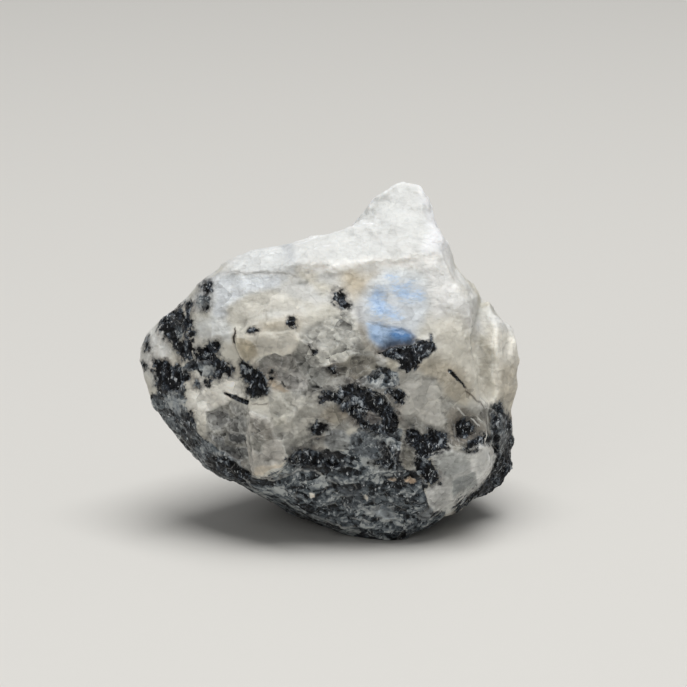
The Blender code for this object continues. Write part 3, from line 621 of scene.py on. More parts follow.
def insideAny(u, v, outlines, crisp=None):
    # how far inside the nearest of the outlines, with cleaner edges for the crisp ones
    best = np.full(len(u), -farAway)
    for name, outline in outlines.items():
        best = np.maximum(best, insideOutline(u, v, outline) * (crisp or {}).get(name, 1))
    return best


# What grew where the outlines don't reach, and what is worn. Places and sizes are in mm.

stoneGrowth = {
    "outlineShake": 0.22,  # how far drawn outlines wander
    "needleEdge": 6,  # how much cleaner than the rest the needles' edges are
    "blackSize": 11,  # black crystals: size, how rare, how sharp
    "blackRarity": 0.27,
    "blackEdge": 8,
    "blackEnds": (30, 46),  # heights over which they get fewer
    "leftUnderside": (-0.66, 0.0, -0.75),  # the ways in which the two slopes below face
    "rightUnderside": (0.85, 0.0, -0.53),
    "slateBelow": 14,  # all is slate under this height, give or take the next
    "slateWanders": 5,
    "clearBelow": 42,  # and clear grains only grow under this one
    "paleEnds": [  # neither black nor slate grows on the left tip and the right shoulder: side, across, above
        (-1, (25.5, 28), (20, 22)),
        (1, (22, 24), (28.5, 30.5)),
    ],
    "wornBelow": 22,
    "rightWear": 0.65,  # how worn the right slope is beside the left one
    "whiteTop": (36, 42),  # heights over which the top gets smoother
    "peak": (42, 48),  # and white
}


# The stone: the fixed frame's shape with its broken surface worked in, in one closed mesh.

stoneShape = {
    "voxel": 0.25,
    "smoothing": 14,
    "triangles": 196000,
    "faces": [  # broken faces, smaller ones on them and the smallest; limit is how far they may move
        dict(size=5.0, flat=0.75, limit=0.42, tilt=0.09, tone=0.5, shift=3.7),
        dict(size=2.1, flat=0.85, limit=0.4, tilt=0.3, tone=0.5, shift=9.2),
        dict(size=0.95, flat=0.8, limit=0.16, tilt=0.35, tone=0.3, shift=14.8),
    ],
    "fineHeight": 0.03,  # fine grain over all of it
    "blackRecess": 0.16,
    "bladeSize": 0.85,  # width of the black blades
    "bladeHeight": 0.2,
    "bladeTilt": 0.55,
    "bladeAxes": ((0.8, -0.6, 0.0), (0.25, 0.33, -0.9), (0.2, 0.3, 0.16)),
    "layerHeight": 0.32,  # ledges of the slaty rind
    "grainTilt": 0.035,
    "rimGroove": 0.12,
    "triangleHeight": 0.6,  # how far the black triangle stands out
    "calmBelow": 0.7,  # the relief fades out this far above the floor
    "undercut": 1.3,  # how far the foot is drawn in, and up to what height
    "undercutHeight": 3.0,
    "rindMiddle": (1.0, -2.0, 27.0),  # the rind's layers lie round this bowl
    "rindReach": (32.0, 24.0, 28.0),
    "rindStretch": 0.22,  # and change this much slower along than through
}

# Small pushes: middle in the front view, reach, and push right, up and to the front, in mm.
nudges = [
    ((-29.5, 29.0), 5.0, (-1.3, 0.4, 0.0)), ((-28.0, 16.0), 3.5, (-0.7, 0.0, 0.0)),
    ((-19.0, 6.5), 3.0, (-0.8, -0.4, 0.0)), ((-9.0, 1.0), 2.5, (0.4, 0.3, 0.0)),
    ((16.5, 48.0), 3.0, (-0.9, 0.0, 0.0)), ((22.2, 35.0), 2.6, (1.6, 0.8, 0.0)),
    ((24.2, 32.6), 1.5, (0.6, 0.6, 0.0)), ((27.4, 29.6), 2.2, (0.3, 1.6, 0.0)),
    ((18.6, 44.0), 2.5, (0.5, 0.2, 0.0)), ((15.8, 50.0), 2.0, (0.4, 0.0, 0.0)),
    ((20.5, 0.5), 2.5, (1.0, -0.5, 0.0)), ((-18.0, 40.0), 4.0, (-0.5, 0.5, 0.0)),
    # these fill the hollow under the brow
    ((-3.0, 38.2), 2.8, (0.0, 0.0, 0.45)), ((1.0, 38.2), 2.8, (0.0, 0.0, 0.5)),
    ((5.0, 38.3), 2.8, (0.0, 0.0, 0.5)), ((9.0, 38.4), 2.8, (0.0, 0.0, 0.5)),
    ((13.0, 38.6), 2.8, (0.0, 0.0, 0.45)),
    # and these dull the brow's edge
    ((2.0, 42.0), 2.4, (0.0, 0.0, -0.35)), ((6.0, 42.2), 2.4, (0.0, 0.0, -0.45)),
    ((10.0, 42.2), 2.4, (0.0, 0.0, -0.45)), ((14.0, 42.4), 2.4, (0.0, 0.0, -0.35)),
]


def readMesh(mesh):
    count = len(mesh.vertices)
    points = np.empty(count * 3)
    mesh.vertices.foreach_get("co", points)
    normals = np.empty(count * 3)
    mesh.vertex_normals.foreach_get("vector", normals)
    return points.reshape(-1, 3) / mm, normals.reshape(-1, 3)


def writePoints(mesh, points):
    mesh.vertices.foreach_set("co", (points * mm).ravel())
    mesh.update()


def withModifiers(mesh, name, addModifiers):
    # a new mesh, with the modifiers that the function adds
    draft = bpy.data.objects.new(name, mesh)
    bpy.context.scene.collection.objects.link(draft)
    addModifiers(draft)
    graph = bpy.context.evaluated_depsgraph_get()
    result = bpy.data.meshes.new_from_object(draft.evaluated_get(graph), depsgraph=graph)
    bpy.data.objects.remove(draft)
    return result


def refineModifiers(draft):
    remesh = draft.modifiers.new("evenFaces", "REMESH")
    remesh.mode = "VOXEL"
    remesh.voxel_size = stoneShape["voxel"] * mm
    smooth = draft.modifiers.new("softCorners", "SMOOTH")
    smooth.iterations = stoneShape["smoothing"]


def thinModifiers(draft):
    draft.data.calc_loop_triangles()
    thin = draft.modifiers.new("thin", "DECIMATE")
    thin.ratio = min(1, stoneShape["triangles"] / len(draft.data.loop_triangles))


def fieldsOf(points, normals, g):
    # what each point of the stone is made of: as drawn on the front, and grown from noise elsewhere
    front = seenFromFront(normals)
    height = points[:, 2]
    u, v = ragged(points, g["outlineShake"])
    drawn = np.minimum(insideAny(u, v, blackMinerals, crispMinerals), -insideAny(u, v, windows))
    drawn = np.maximum(drawn, g["needleEdge"] * insideAny(*inFrontView(points), needles))
    grown = (fractal(points * (1, 1, 1.5), g["blackSize"], 4, 31.0) - g["blackRarity"]) * g["blackEdge"]
    grown = grown - 1.5 * ramp(height, *g["blackEnds"])
    slatyDrawn = ramp(insideAny(u, v, slatyRock), -0.9, 0.9)
    leftUnder = normals @ np.array(g["leftUnderside"])
    slateTop = g["slateBelow"] - height + g["slateWanders"] * fractal(points, 9, 3, 3.3)
    slatyGrown = ramp(leftUnder + 0.25 * fractal(points, 7, 3, 5.0), 0.15, 0.5)
    slatyGrown = np.maximum(slatyGrown, ramp(-normals[:, 2] + 0.3 * fractal(points, 8, 3, 7.7), 0.25, 0.6))
    slatyGrown = np.maximum(slatyGrown, ramp(slateTop, 0, 4))
    pale = np.zeros(len(u))
    for side, across, above in g["paleEnds"]:
        pale = np.maximum(pale, ramp(side * points[:, 0], *across) * ramp(v, *above))
    grown, slatyGrown = grown - 3 * pale, slatyGrown * (1 - pale)
    clear = np.zeros(len(u))
    for tone in tones.values():
        share = ramp(insideOutline(u, v, tone["outline"]), -tone["soft"], tone["soft"])
        clear = mix(clear, tone["clear"], share)
    for grain in grains.values():
        clear = mix(clear, grain["clear"], ramp(insideOutline(u, v, grain["outline"]), -0.3, 0.3))
    clearGrown = ramp(fractal(points, 6, 3, 41.0), 0.0, 0.25) * ramp(g["clearBelow"] - height, 0, 10)
    return dict(front=front, u=u, v=v, black=mix(grown, drawn, front),
                slaty=mix(slatyGrown, slatyDrawn, front), clear=mix(clearGrown, clear, front))


def faceCells(points, size, shift):
    # irregular cells: their centres, and each point's own one
    away = [fractal(points, 0.9 * size, 2, shift + k) for k in (1, 2, 3)]
    centres = cells(points + 0.2 * size * np.stack(away, axis=1), size, shift)[0]
    keys = np.round(centres @ (1, 100, 10000), 4)
    _, first, cell = np.unique(keys, return_index=True, return_inverse=True)
    return centres[first], cell


def flatFaces(points, normals, centres, cell, kind, lean):
    # how far to move so that each cell becomes a flat, tilted face
    count = np.bincount(cell)[:, None]
    middle = np.stack([np.bincount(cell, points[:, k]) for k in range(3)], axis=1) / count
    facing = np.stack([np.bincount(cell, normals[:, k]) for k in range(3)], axis=1) / count
    lean = np.bincount(cell, lean)[:, None] / count
    facing = facing / (np.linalg.norm(facing, axis=1, keepdims=True) + 1e-9) + lean * hashedVector(centres, 8)
    facing /= np.linalg.norm(facing, axis=1, keepdims=True)
    away = ((middle[cell] - points) * facing[cell]).sum(axis=1)
    share = kind["flat"] * ramp((normals * facing[cell]).sum(axis=1), 0.4, 0.75)
    return facing[cell] * (np.clip(away, -kind["limit"], kind["limit"]) * share)[:, None]


def blades(points, s):
    # height of small tilted faces, long one way
    squashed = points @ np.array(s["bladeAxes"])
    centres, offset = cells(squashed, s["bladeSize"], 15.0)
    slope = (hashedVector(centres, 8) * s["bladeTilt"] * offset).sum(axis=1)
    return s["bladeHeight"] * hashed(centres, 9) + slope


def rindPlace(points, s):
    # places along the rind's layers: depth first
    depth = np.linalg.norm((points - s["rindMiddle"]) / s["rindReach"], axis=1) * s["rindReach"][2]
    return np.stack([depth, s["rindStretch"] * points[:, 0], s["rindStretch"] * points[:, 1]], axis=1)


def nudged(points, normals):
    # the points after the small pushes, which leave the foot where it is
    u, v = inFrontView(points)
    facing = seenFromFront(normals)
    push = np.zeros_like(points)
    for (mu, mv), reach, (right, up, forward) in nudges:
        near = np.exp(-((u - mu) ** 2 + (v - mv) ** 2) / reach**2) * (facing if forward else 1)
        push += near[:, None] * (right * np.array([1.0, 0.0, 0.0]) + up * viewUp + forward * towardsViewer)
    return points + push * ramp(points[:, 2], 1.0, 5.0)[:, None]


def wornShare(points, normals, g):
    # how smooth the two slopes below are worn
    left = ramp(normals @ np.array(g["leftUnderside"]), 0.35, 0.75)
    right = g["rightWear"] * ramp(normals @ np.array(g["rightUnderside"]), 0.5, 0.85)
    return np.maximum(left, right * ramp(g["wornBelow"] - points[:, 2], 0, 4))


def addGrains(height, f, free, s):
    # grains with an outline of their own, each tilted a little, with a groove round it
    for number, grain in enumerate(grains.values()):
        within = insideOutline(f["u"], f["v"], grain["outline"])
        middle = np.mean(grain["outline"], axis=0)
        turn = 2.4 * number
        across = math.cos(turn) * (f["u"] - middle[0]) + math.sin(turn) * (f["v"] - middle[1])
        tilt = s["grainTilt"] * across if grain["lift"] else 0
        height += free * ramp(within, -0.12, 0.2) * (grain["lift"] + tilt)
        height -= free * s["rimGroove"] * grain["rim"] * (1 - ramp(np.abs(within + 0.1), 0.0, 0.22))


def worked(points, normals, s, g):
    # the broken surface, and what each point is made of
    points = nudged(points, normals)
    f = fieldsOf(points, normals, g)
    blackShare = ramp(f["black"], -0.15, 0.2)
    creamy = ramp(f["u"] + 0.45 * (f["v"] - 28), 6, 16) * f["front"]
    white = ramp(points[:, 2], *g["whiteTop"])
    busy = np.maximum(f["clear"], f["slaty"])
    worn = wornShare(points, normals, g)
    crisp = mix(0.75, 1.0, busy) * (1 - 0.4 * creamy) * (1 - 0.75 * worn)
    crispChips = crisp * mix(0.35, 1.0, busy) * (1 - 0.5 * white)
    tone = np.zeros(len(points))
    moved = points
    for kind in s["faces"]:
        centres, cell = faceCells(points, kind["size"], kind["shift"])
        amount = crisp if kind is s["faces"][0] else crispChips
        lean = kind["tilt"] * mix(0.4, 1.0, busy)
        moved = moved + flatFaces(moved, normals, centres, cell, kind, lean) * amount[:, None]
        tone += hashed(centres, 21)[cell] * kind["tone"]
    height = s["fineHeight"] * fractal(points, 0.9, 3, 13.0)
    # black crystals: recessed, in short blades
    blade = blades(points, s) - s["blackRecess"]
    height += blackShare * blade * mix(0.45, 1.0, f["front"]) * (1 - 0.7 * worn)
    # slaty rind: ledges that follow its edge
    layer = fractal(rindPlace(points, s) + 0.35 * fractal(points, 3, 3, 61.0)[:, None], 1.3, 3, 71.0)
    ledge = ramp(layer, -0.12, 0.0) + ramp(layer, 0.25, 0.35) - 1 + 0.3 * layer
    height += f["slaty"] * (1 - 0.7 * blackShare) * (1 - 0.6 * worn) * s["layerHeight"] * ledge
    addGrains(height, f, f["front"] * (1 - blackShare), s)
    within = insideOutline(f["u"], f["v"], blackMinerals["triangle"])
    height += f["front"] * ramp(within, -0.2, 0.5) * s["triangleHeight"]
    calm = ramp(points[:, 2], 0.05, s["calmBelow"])
    moved = points + (moved - points + normals * height[:, None]) * calm[:, None]
    # the foot, drawn in towards the middle of the resting face
    foot = s["undercut"] * (1 - ramp(points[:, 2], 0, s["undercutHeight"]))
    outwards = points[:, :2] - points[points[:, 2] < 0.5, :2].mean(axis=0)
    moved[:, :2] -= outwards / (np.linalg.norm(outwards, axis=1, keepdims=True) + 3) * foot[:, None]
    moved[:, 2] = np.maximum(moved[:, 2], 0)
    return moved, dict(f, tone=tone, place=points)


def keepAtPoints(mesh, values):
    for name, value in values.items():
        kind, field = ("FLOAT", "value") if value.ndim == 1 else ("FLOAT_VECTOR", "vector")
        layer = mesh.attributes.get(name) or mesh.attributes.new(name, kind, "POINT")
        layer.data.foreach_set(field, value.astype(np.float32).ravel())


def keptAtPoints(mesh, name, width=1):
    values = np.empty(len(mesh.vertices) * width, np.float32)
    mesh.attributes[name].data.foreach_get("value" if width == 1 else "vector", values)
    return values.astype(float) if width == 1 else values.reshape(-1, width).astype(float)


# the material paints highlight on edges and shade in creases from this
def bends(mesh, points, normals):
    # how sharply the surface bends at each point: above 0 on edges, below 0 in creases
    ends = np.empty(len(mesh.edges) * 2, np.int32)
    mesh.edges.foreach_get("vertices", ends)
    a, b = ends.reshape(-1, 2).T
    away = points[b] - points[a]
    turn = ((normals[b] - normals[a]) * away).sum(axis=1) / np.maximum((away**2).sum(axis=1), 1e-4)
    count = np.bincount(a, minlength=len(points)) + np.bincount(b, minlength=len(points))
    bend = (np.bincount(a, turn, len(points)) + np.bincount(b, turn, len(points))) / count
    for _ in range(2):
        around = (np.bincount(a, bend[b], len(points)) + np.bincount(b, bend[a], len(points))) / count
        bend = (bend + around) / 2
    return np.clip(bend, -2, 2)


def makeStone(node):
    mesh = withModifiers(node.data.copy(), "refining", refineModifiers)
    points, normals = readMesh(mesh)
    print("stone refined:", len(points), "points")
    moved, values = worked(points, normals, stoneShape, stoneGrowth)
    writePoints(mesh, moved)
    keepAtPoints(mesh, values)
    print("relief worked in")
    mesh = withModifiers(mesh, "thinning", thinModifiers)
    mesh.name = "stone"
    mesh.shade_smooth()
    stone = bpy.data.objects.new("stone", mesh)
    bpy.context.scene.collection.objects.link(stone)
    mesh.calc_loop_triangles()
    print("stone has", len(mesh.loop_triangles), "triangles")
    return stone


stone = makeStone(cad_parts["moonstone"])
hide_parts("moonstone")
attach(stone, "root")


# The stone's colours, kept at its points for the material to read.

stoneColours = {
    "white": (222, 222, 218),
    "cream": (204, 200, 186),
    "peak": (250, 251, 253),
    "clear": (150, 149, 143),
    "rust": (150, 118, 82),
}


def linesAt(u, v, front):
    # signed distance to the nearest grain rim or crack, and its strength: above 0 light, below 0 dark
    edge = np.full(len(u), 5.0)
    strength = np.zeros(len(u))
    rimmed = [grain for grain in grains.values() if grain["rim"]]
    found = [(grain["rim"], insideOutline(u, v, grain["outline"])) for grain in rimmed]
    found += [(light, besideLine(u, v, points)) for light, points in lines]
    for light, distance in found:
        nearer = np.abs(distance) < np.abs(edge) - 0.25 * (np.abs(light) > 0.9)
        edge = np.where(nearer, distance, edge)
        strength = np.where(nearer, light, strength)
    return edge, strength * (1 - ramp(np.abs(edge), 0.3, 0.55)) * front


def sheenAt(u, v, front):
    total = np.zeros(len(u))
    for (mu, mv), long, wide, angle, strength in sheenGlows:
        c, s = math.cos(math.radians(angle)), math.sin(math.radians(angle))
        a, b = (u - mu) * c + (v - mv) * s, (v - mv) * c - (u - mu) * s
        total += strength * np.exp(-((a / long) ** 2) - (b / wide) ** 2)
    return total * front


def colourStone(mesh, g):
    points, normals = readMesh(mesh)
    f = {name: keptAtPoints(mesh, name) for name in ("front", "u", "v", "black", "slaty", "clear")}
    place = keptAtPoints(mesh, "place", 3)
    u, v, front = f["u"], f["v"], f["front"]
    c = {name: np.array(linear(*value)) for name, value in stoneColours.items()}
    tint = mix(c["white"], c["cream"], (0.75 * ramp(fractal(place, 9, 4, 81.0), -0.35, 0.35))[:, None])
    tint = mix(tint, c["clear"], (0.75 * f["clear"])[:, None])
    tint = mix(tint, c["peak"], ramp(place[:, 2], *g["peak"])[:, None])
    for tone in tones.values():
        share = ramp(insideOutline(u, v, tone["outline"]), -tone["soft"], tone["soft"]) * tone["share"]
        tint = mix(tint, np.array(linear(*tone["color"])), (share * front)[:, None])
    slaty = f["slaty"]
    for grain in grains.values():
        within = insideOutline(u, v, grain["outline"])
        soft = 0.16 if grain["rim"] else 0.6
        body = np.array(linear(*grain["color"])) * mix(1.14, 0.96, ramp(within, 0.0, 1.3))[:, None]
        tint = mix(tint, body, (ramp(within, -soft, soft) * front)[:, None])
        slaty = slaty * (1 - grain["keeps"] * ramp(within, -0.4, 0.4) * front)
    halo = ramp(f["black"], -1.5, -0.1) * ramp(fractal(place, 3.0, 3, 91.0), -0.1, 0.35)
    tint = mix(tint, c["rust"], (0.2 * halo * (1 - f["slaty"]))[:, None])
    edge, rim = linesAt(u, v, front)
    keepAtPoints(mesh, dict(tint=tint, slaty=slaty, edge=edge, rim=rim, sheen=sheenAt(u, v, front),
                            bend=bends(mesh, points, normals)))
    for name in ("front", "u", "v", "place"):
        mesh.attributes.remove(mesh.attributes[name])


colourStone(stone.data, stoneGrowth)
print("stone coloured")


# The stone's material. Its places are in mm.

stoneFinish = {
    "lightEdge": (236, 236, 231),
    "darkEdge": (20, 17, 14),
    "black": [(0.32, (3, 4, 7)), (0.47, (14, 17, 24)), (0.59, (42, 48, 56)), (0.73, (88, 96, 105)),
              (0.9, (160, 166, 170))],
    "slate": [(0.14, (7, 8, 10)), (0.33, (33, 37, 41)), (0.5, (66, 73, 79)), (0.67, (98, 106, 111)),
              (0.83, (138, 144, 147)), (0.97, (184, 188, 187))],
    "wisp": (158, 164, 168),
    "glint": (214, 218, 220),
    "halo": (74, 74, 74),
    "brown": (120, 92, 62),
    "sheenPale": (186, 209, 236),
    "sheenDeep": (96, 136, 190),
    "subsurface": 0.3,
    "subsurfaceRadius": (1.1, 1.0, 0.9),
    "specular": 0.22,
    # where each tone starts, and how much of each pattern is added; the edge and crease patterns are painted
    # highlight on sharp edges and painted shade in creases
    "plainTone": (1.0, dict(cloud=0.3, streak=0.1, fine=0.08, largeTone=0.03, largeLean=0.1, smallTone=0.02,
                            smallLean=0.06, faceTone=0.03, paintedEdgeLight=0.1, paintedCreaseShade=-0.14)),
    "clearTone": (1.0, dict(cloud=0.6, streak=0.3, fine=0.36, largeTone=0.4, largeLean=1.05, smallTone=0.22,
                            smallLean=0.7, faceTone=0.14, paintedEdgeLight=0.6, paintedCreaseShade=-0.36)),
    # the foot pattern is painted shade, darkening the slate towards the floor
    "slateTone": (0.625, dict(rough=1.5, fine=0.5, plateTone=0.5, plateLean=0.7, largeTone=0.3, largeLean=0.7,
                              smallTone=0.26, smallLean=0.6, faceTone=0.08, paintedEdgeLight=0.24, paintedCreaseShade=-0.3,
                              foot=-0.12)),
    "blackTone": (0.485, dict(longTone=0.42, longLean=0.6, bladeTone=0.24, bladeLean=0.5, grit=1.5,
                              paintedEdgeLight=0.16, paintedCreaseShade=-0.2)),
    "jagged": (0.1, dict(tatter=2.1, bladeTone=0.35, longTone=0.2)),
    "bump": (0.0, dict(largeBump=1.0, smallBump=1.0, bladeBump=0.3, fine=0.12, streak=0.12, darkRim=-0.1,
                       lightLines=-0.03)),
}


class NodeSheet:
    # adds shader nodes and joins them by plain calls
    def __init__(self, name):
        self.material = bpy.data.materials.new(name)
        self.material.use_nodes = True
        self.tree = self.material.node_tree
        self.shader = self.tree.nodes["Principled BSDF"]
        self.count = 0

    def node(self, kind, inputs=(), **settings):
        n = self.tree.nodes.new("ShaderNode" + kind)
        n.location = (-1800 + 190 * (self.count % 9), 400 - 260 * (self.count // 9))
        self.count += 1
        for name, value in settings.items():
            setattr(n, name, value)
        for key, value in dict(inputs).items():
            self.set(n.inputs[key], value)
        return n

    def add(self, kind, inputs=(), output=0, **settings):
        return self.node(kind, inputs, **settings).outputs[output]

    def set(self, socket, value):
        if isinstance(value, bpy.types.NodeSocket):
            self.tree.links.new(value, socket)
        elif socket.type == "RGBA":
            socket.default_value = (*value, 1)
        else:
            socket.default_value = value

    def attribute(self, name, output="Fac"):
        n = self.node("Attribute")
        n.attribute_name = name
        return n.outputs[output]

    def math(self, operation, a, b=0.0):
        return self.add("Math", {0: a, 1: b}, operation=operation)

    def times(self, *values):
        result = values[0]
        for value in values[1:]:
            result = self.math("MULTIPLY", result, value)
        return result

    def larger(self, a, b):
        return self.math("MAXIMUM", a, b)

    def vector(self, operation, a, b, output=0):
        return self.add("VectorMath", {0: a, 1: b}, output=output, operation=operation)

    def scaled(self, vector, factor):
        return self.add("VectorMath", {0: vector, 3: factor}, operation="SCALE")

    def step(self, value, low, high, bottom=0.0, top=1.0):
        inputs = {"Value": value, "From Min": low, "From Max": high, "To Min": bottom, "To Max": top}
        return self.add("MapRange", inputs, interpolation_type="SMOOTHSTEP")

    def blend(self, share, a, b):
        return self.add("Mix", {0: share, 6: a, 7: b}, output=2, data_type="RGBA")

    def between(self, share, a, b):
        return self.add("Mix", {0: share, 2: a, 3: b}, data_type="FLOAT")

    def noise(self, place, scale, detail, roughness=0.55, output=0):
        inputs = {"Vector": place, "Scale": scale, "Detail": detail, "Roughness": roughness}
        return self.add("TexNoise", inputs, output=output)

    def swing(self, place, scale, detail, roughness=0.55):
        # noise about 0
        return self.math("SUBTRACT", self.noise(place, scale, detail, roughness), 0.5)

    def shaken(self, place, scale, amount, detail):
        # the place, moved about by noise
        away = self.vector("SUBTRACT", self.noise(place, scale, detail, output=1), (0.5, 0.5, 0.5))
        inputs = {0: away, 1: (amount, amount, amount), 2: place}
        return self.add("VectorMath", inputs, operation="MULTIPLY_ADD")

    def stretched(self, place, rotation, scale):
        return self.add("Mapping", {"Vector": place, "Rotation": rotation, "Scale": scale})

    def colours(self, value, stops):
        n = self.node("ValToRGB", {0: value})
        marks = n.color_ramp.elements
        for i, (position, colour) in enumerate(stops):
            mark = marks[i] if i < 2 else marks.new(position)
            mark.position = position
            mark.color = (*linear(*colour), 1)
        return n.outputs[0]

    def facets(self, place, scale):
        # cells: a tone for each, and a slope across each
        cell = self.node("TexVoronoi", {"Vector": place, "Scale": scale})
        away = self.vector("SUBTRACT", place, cell.outputs["Position"])
        slope = self.vector("SUBTRACT", cell.outputs["Color"], (0.5, 0.5, 0.5))
        lean = self.vector("DOT_PRODUCT", away, slope, output=1)
        tone = self.math("SUBTRACT", self.add("SeparateColor", {"Color": cell.outputs["Color"]}), 0.5)
        return tone, self.times(lean, scale)

    def total(self, recipe, patterns):
        # the recipe's start value, and each of its patterns times its weight
        result, weights = recipe
        for name, weight in weights.items():
            result = self.add("Math", {0: patterns[name], 1: weight, 2: result}, operation="MULTIPLY_ADD")
        return result

    def hairlines(self, place, scale, width):
        # thin wandering lines, where a soft noise passes its middle value
        return self.step(self.math("ABSOLUTE", self.swing(place, scale, 1.4)), 0, width, 1, 0)


def feldsparColour(m, s, here, shaken, at, p):
    # tint with soft clouds, and with tilted faces in the clear grains
    share = m.between(at["clear"], m.total(s["plainTone"], p), m.total(s["clearTone"], p))
    colour = m.scaled(m.attribute("tint", "Color"), share)
    # blue light in brushed patches
    brush = m.swing(m.stretched(shaken, (0.0, 0.7, 0.0), (0.45, 1.0, 1.7)), 1.1, 8, 0.74)
    glow = m.math("ADD", at["sheen"], m.times(brush, 2.8, m.step(at["sheen"], 0.05, 0.5)))
    colour = m.blend(m.step(glow, 0.15, 1.15, 0, 0.95), colour, linear(*s["sheenPale"]))
    colour = m.blend(m.step(glow, 1.0, 1.9, 0, 0.9), colour, linear(*s["sheenDeep"]))
    # veils in the clear grains
    veil = m.hairlines(m.stretched(here, (0.9, 0.2, 0.7), (1, 0.4, 1)), 0.24, 0.05)
    return m.scaled(colour, m.math("ADD", 1.0, m.times(veil, at["clear"], 0.28)))


def addRims(m, here, flakes, at, p):
    # hair cracks and edges of the faces in the clear grains, with the drawn rims and cracks
    border = m.add("TexVoronoi", {"Vector": flakes, "Scale": 0.45}, feature="DISTANCE_TO_EDGE")
    glassy = m.larger(at["clear"], m.times(at["slaty"], 0.8))
    border = m.times(m.step(border, 0.008, 0.045, 1, 0), m.step(m.noise(here, 0.5, 4), 0.5, 0.62),
                     m.between(glassy, 0.02, 0.4))
    slanted = m.stretched(here, (0.3, 0.5, 1.1), (1, 0.5, 1))
    hair = m.larger(m.hairlines(here, 0.3, 0.006), m.hairlines(slanted, 0.45, 0.007))
    hair = m.times(hair, m.step(m.noise(here, 0.6, 2), 0.48, 0.6), m.between(at["clear"], 0.04, 0.3))
    edge = m.math("ABSOLUTE", m.math("ADD", at["edge"], m.times(m.swing(here, 1.3, 2), 0.14)))
    gaps = m.larger(m.step(m.noise(here, 0.9, 3), 0.44, 0.56), m.step(at["rim"], 0.5, 0.9, 0, 0.8))
    lightRim = m.times(m.step(edge, 0.03, 0.22, 0.9, 0), m.larger(at["rim"], 0.0), gaps)
    darkness = m.math("MINIMUM", m.larger(m.math("MULTIPLY", at["rim"], -1.0), 0.0), 1.0)
    p["darkRim"] = m.times(m.step(edge, 0.08, 0.2, 1, 0), darkness)
    p["fringe"] = m.times(m.step(edge, 0.1, 0.5, 0.45, 0), darkness)
    p["lightLines"] = m.math("MINIMUM", m.larger(m.larger(hair, border), lightRim), 1.0)


def slateColour(m, s, here, shaken, p):
    # layered round the rind's bowl, in broken plates
    reach, stretch = stoneShape["rindReach"], stoneShape["rindStretch"]
    bowl = m.vector("DIVIDE", m.vector("SUBTRACT", shaken, stoneShape["rindMiddle"]), reach)
    depth = m.times(m.add("VectorMath", {0: bowl}, output=1, operation="LENGTH"), reach[2])
    x, y, _ = m.node("SeparateXYZ", {0: shaken}).outputs
    along = m.add("CombineXYZ", {0: depth, 1: m.times(x, stretch), 2: m.times(y, stretch)})
    layers, patches = m.noise(along, 1.1, 10, 0.68), m.noise(shaken, 0.4, 10, 0.7)
    p["rough"] = m.math("SUBTRACT", m.between(0.5, layers, patches), 0.5)
    plates = m.stretched(m.shaken(here, 0.5, 1.3, 4), (0.2, 0.7, 0.3), (0.8, 1.0, 1.3))
    p["plateTone"], p["plateLean"] = m.facets(plates, 0.26)
    # painted shade: the slate grows darker towards the floor
    p["foot"] = m.step(m.add("SeparateXYZ", {0: here}, output=2), 1.0, 9.0, 1, 0)
    colour = m.colours(m.total(s["slateTone"], p), s["slate"])
    slanted = m.stretched(here, (0.2, 0.4, 0.9), (1, 1, 0.5))
    wisps = m.larger(m.hairlines(along, 1.0, 0.022), m.hairlines(slanted, 1.5, 0.02))
    wisps = m.times(wisps, m.step(m.noise(here, 1.1, 5, 0.7), 0.5, 0.64), 0.45)
    return m.blend(wisps, colour, linear(*s["wisp"]))


def blackCrystals(m, s, here, shaken, at, p):
    # jagged blades with bluish faces: where they are, the dark halo round them, and their colour
    bladed = m.stretched(m.shaken(here, 0.8, 1.6, 4), (0.5, 0.3, 0.9), (1.0, 1.0, 0.6))
    p["longTone"], p["longLean"] = m.facets(bladed, 0.95)
    p["bladeTone"], p["bladeLean"] = m.facets(bladed, 2.2)
    p["tatter"] = m.swing(here, 1.5, 9, 0.78)
    # small crystals are scattered round the large ones
    flecks = m.node("TexVoronoi", {"Vector": shaken, "Scale": 1.15}).outputs
    kept = m.step(m.add("SeparateColor", {"Color": flecks["Color"]}, output=2), 0.7, 0.74, -3.0, 0.0)
    fleck = m.math("SUBTRACT", m.step(at["black"], -1.8, -0.4, -2.6, 0.34), flecks["Distance"])
    drawn = m.larger(at["black"], m.math("ADD", fleck, kept))
    grown = m.math("ADD", drawn, m.total(s["jagged"], p))
    p["grit"] = m.swing(shaken, 1.1, 8, 0.75)
    halo = m.times(m.step(grown, -1.1, 0.0), m.step(m.noise(here, 1.0, 4), 0.35, 0.6, 0.25, 0.75))
    return m.step(grown, -0.16, 0.14), halo, m.colours(m.total(s["blackTone"], p), s["black"])


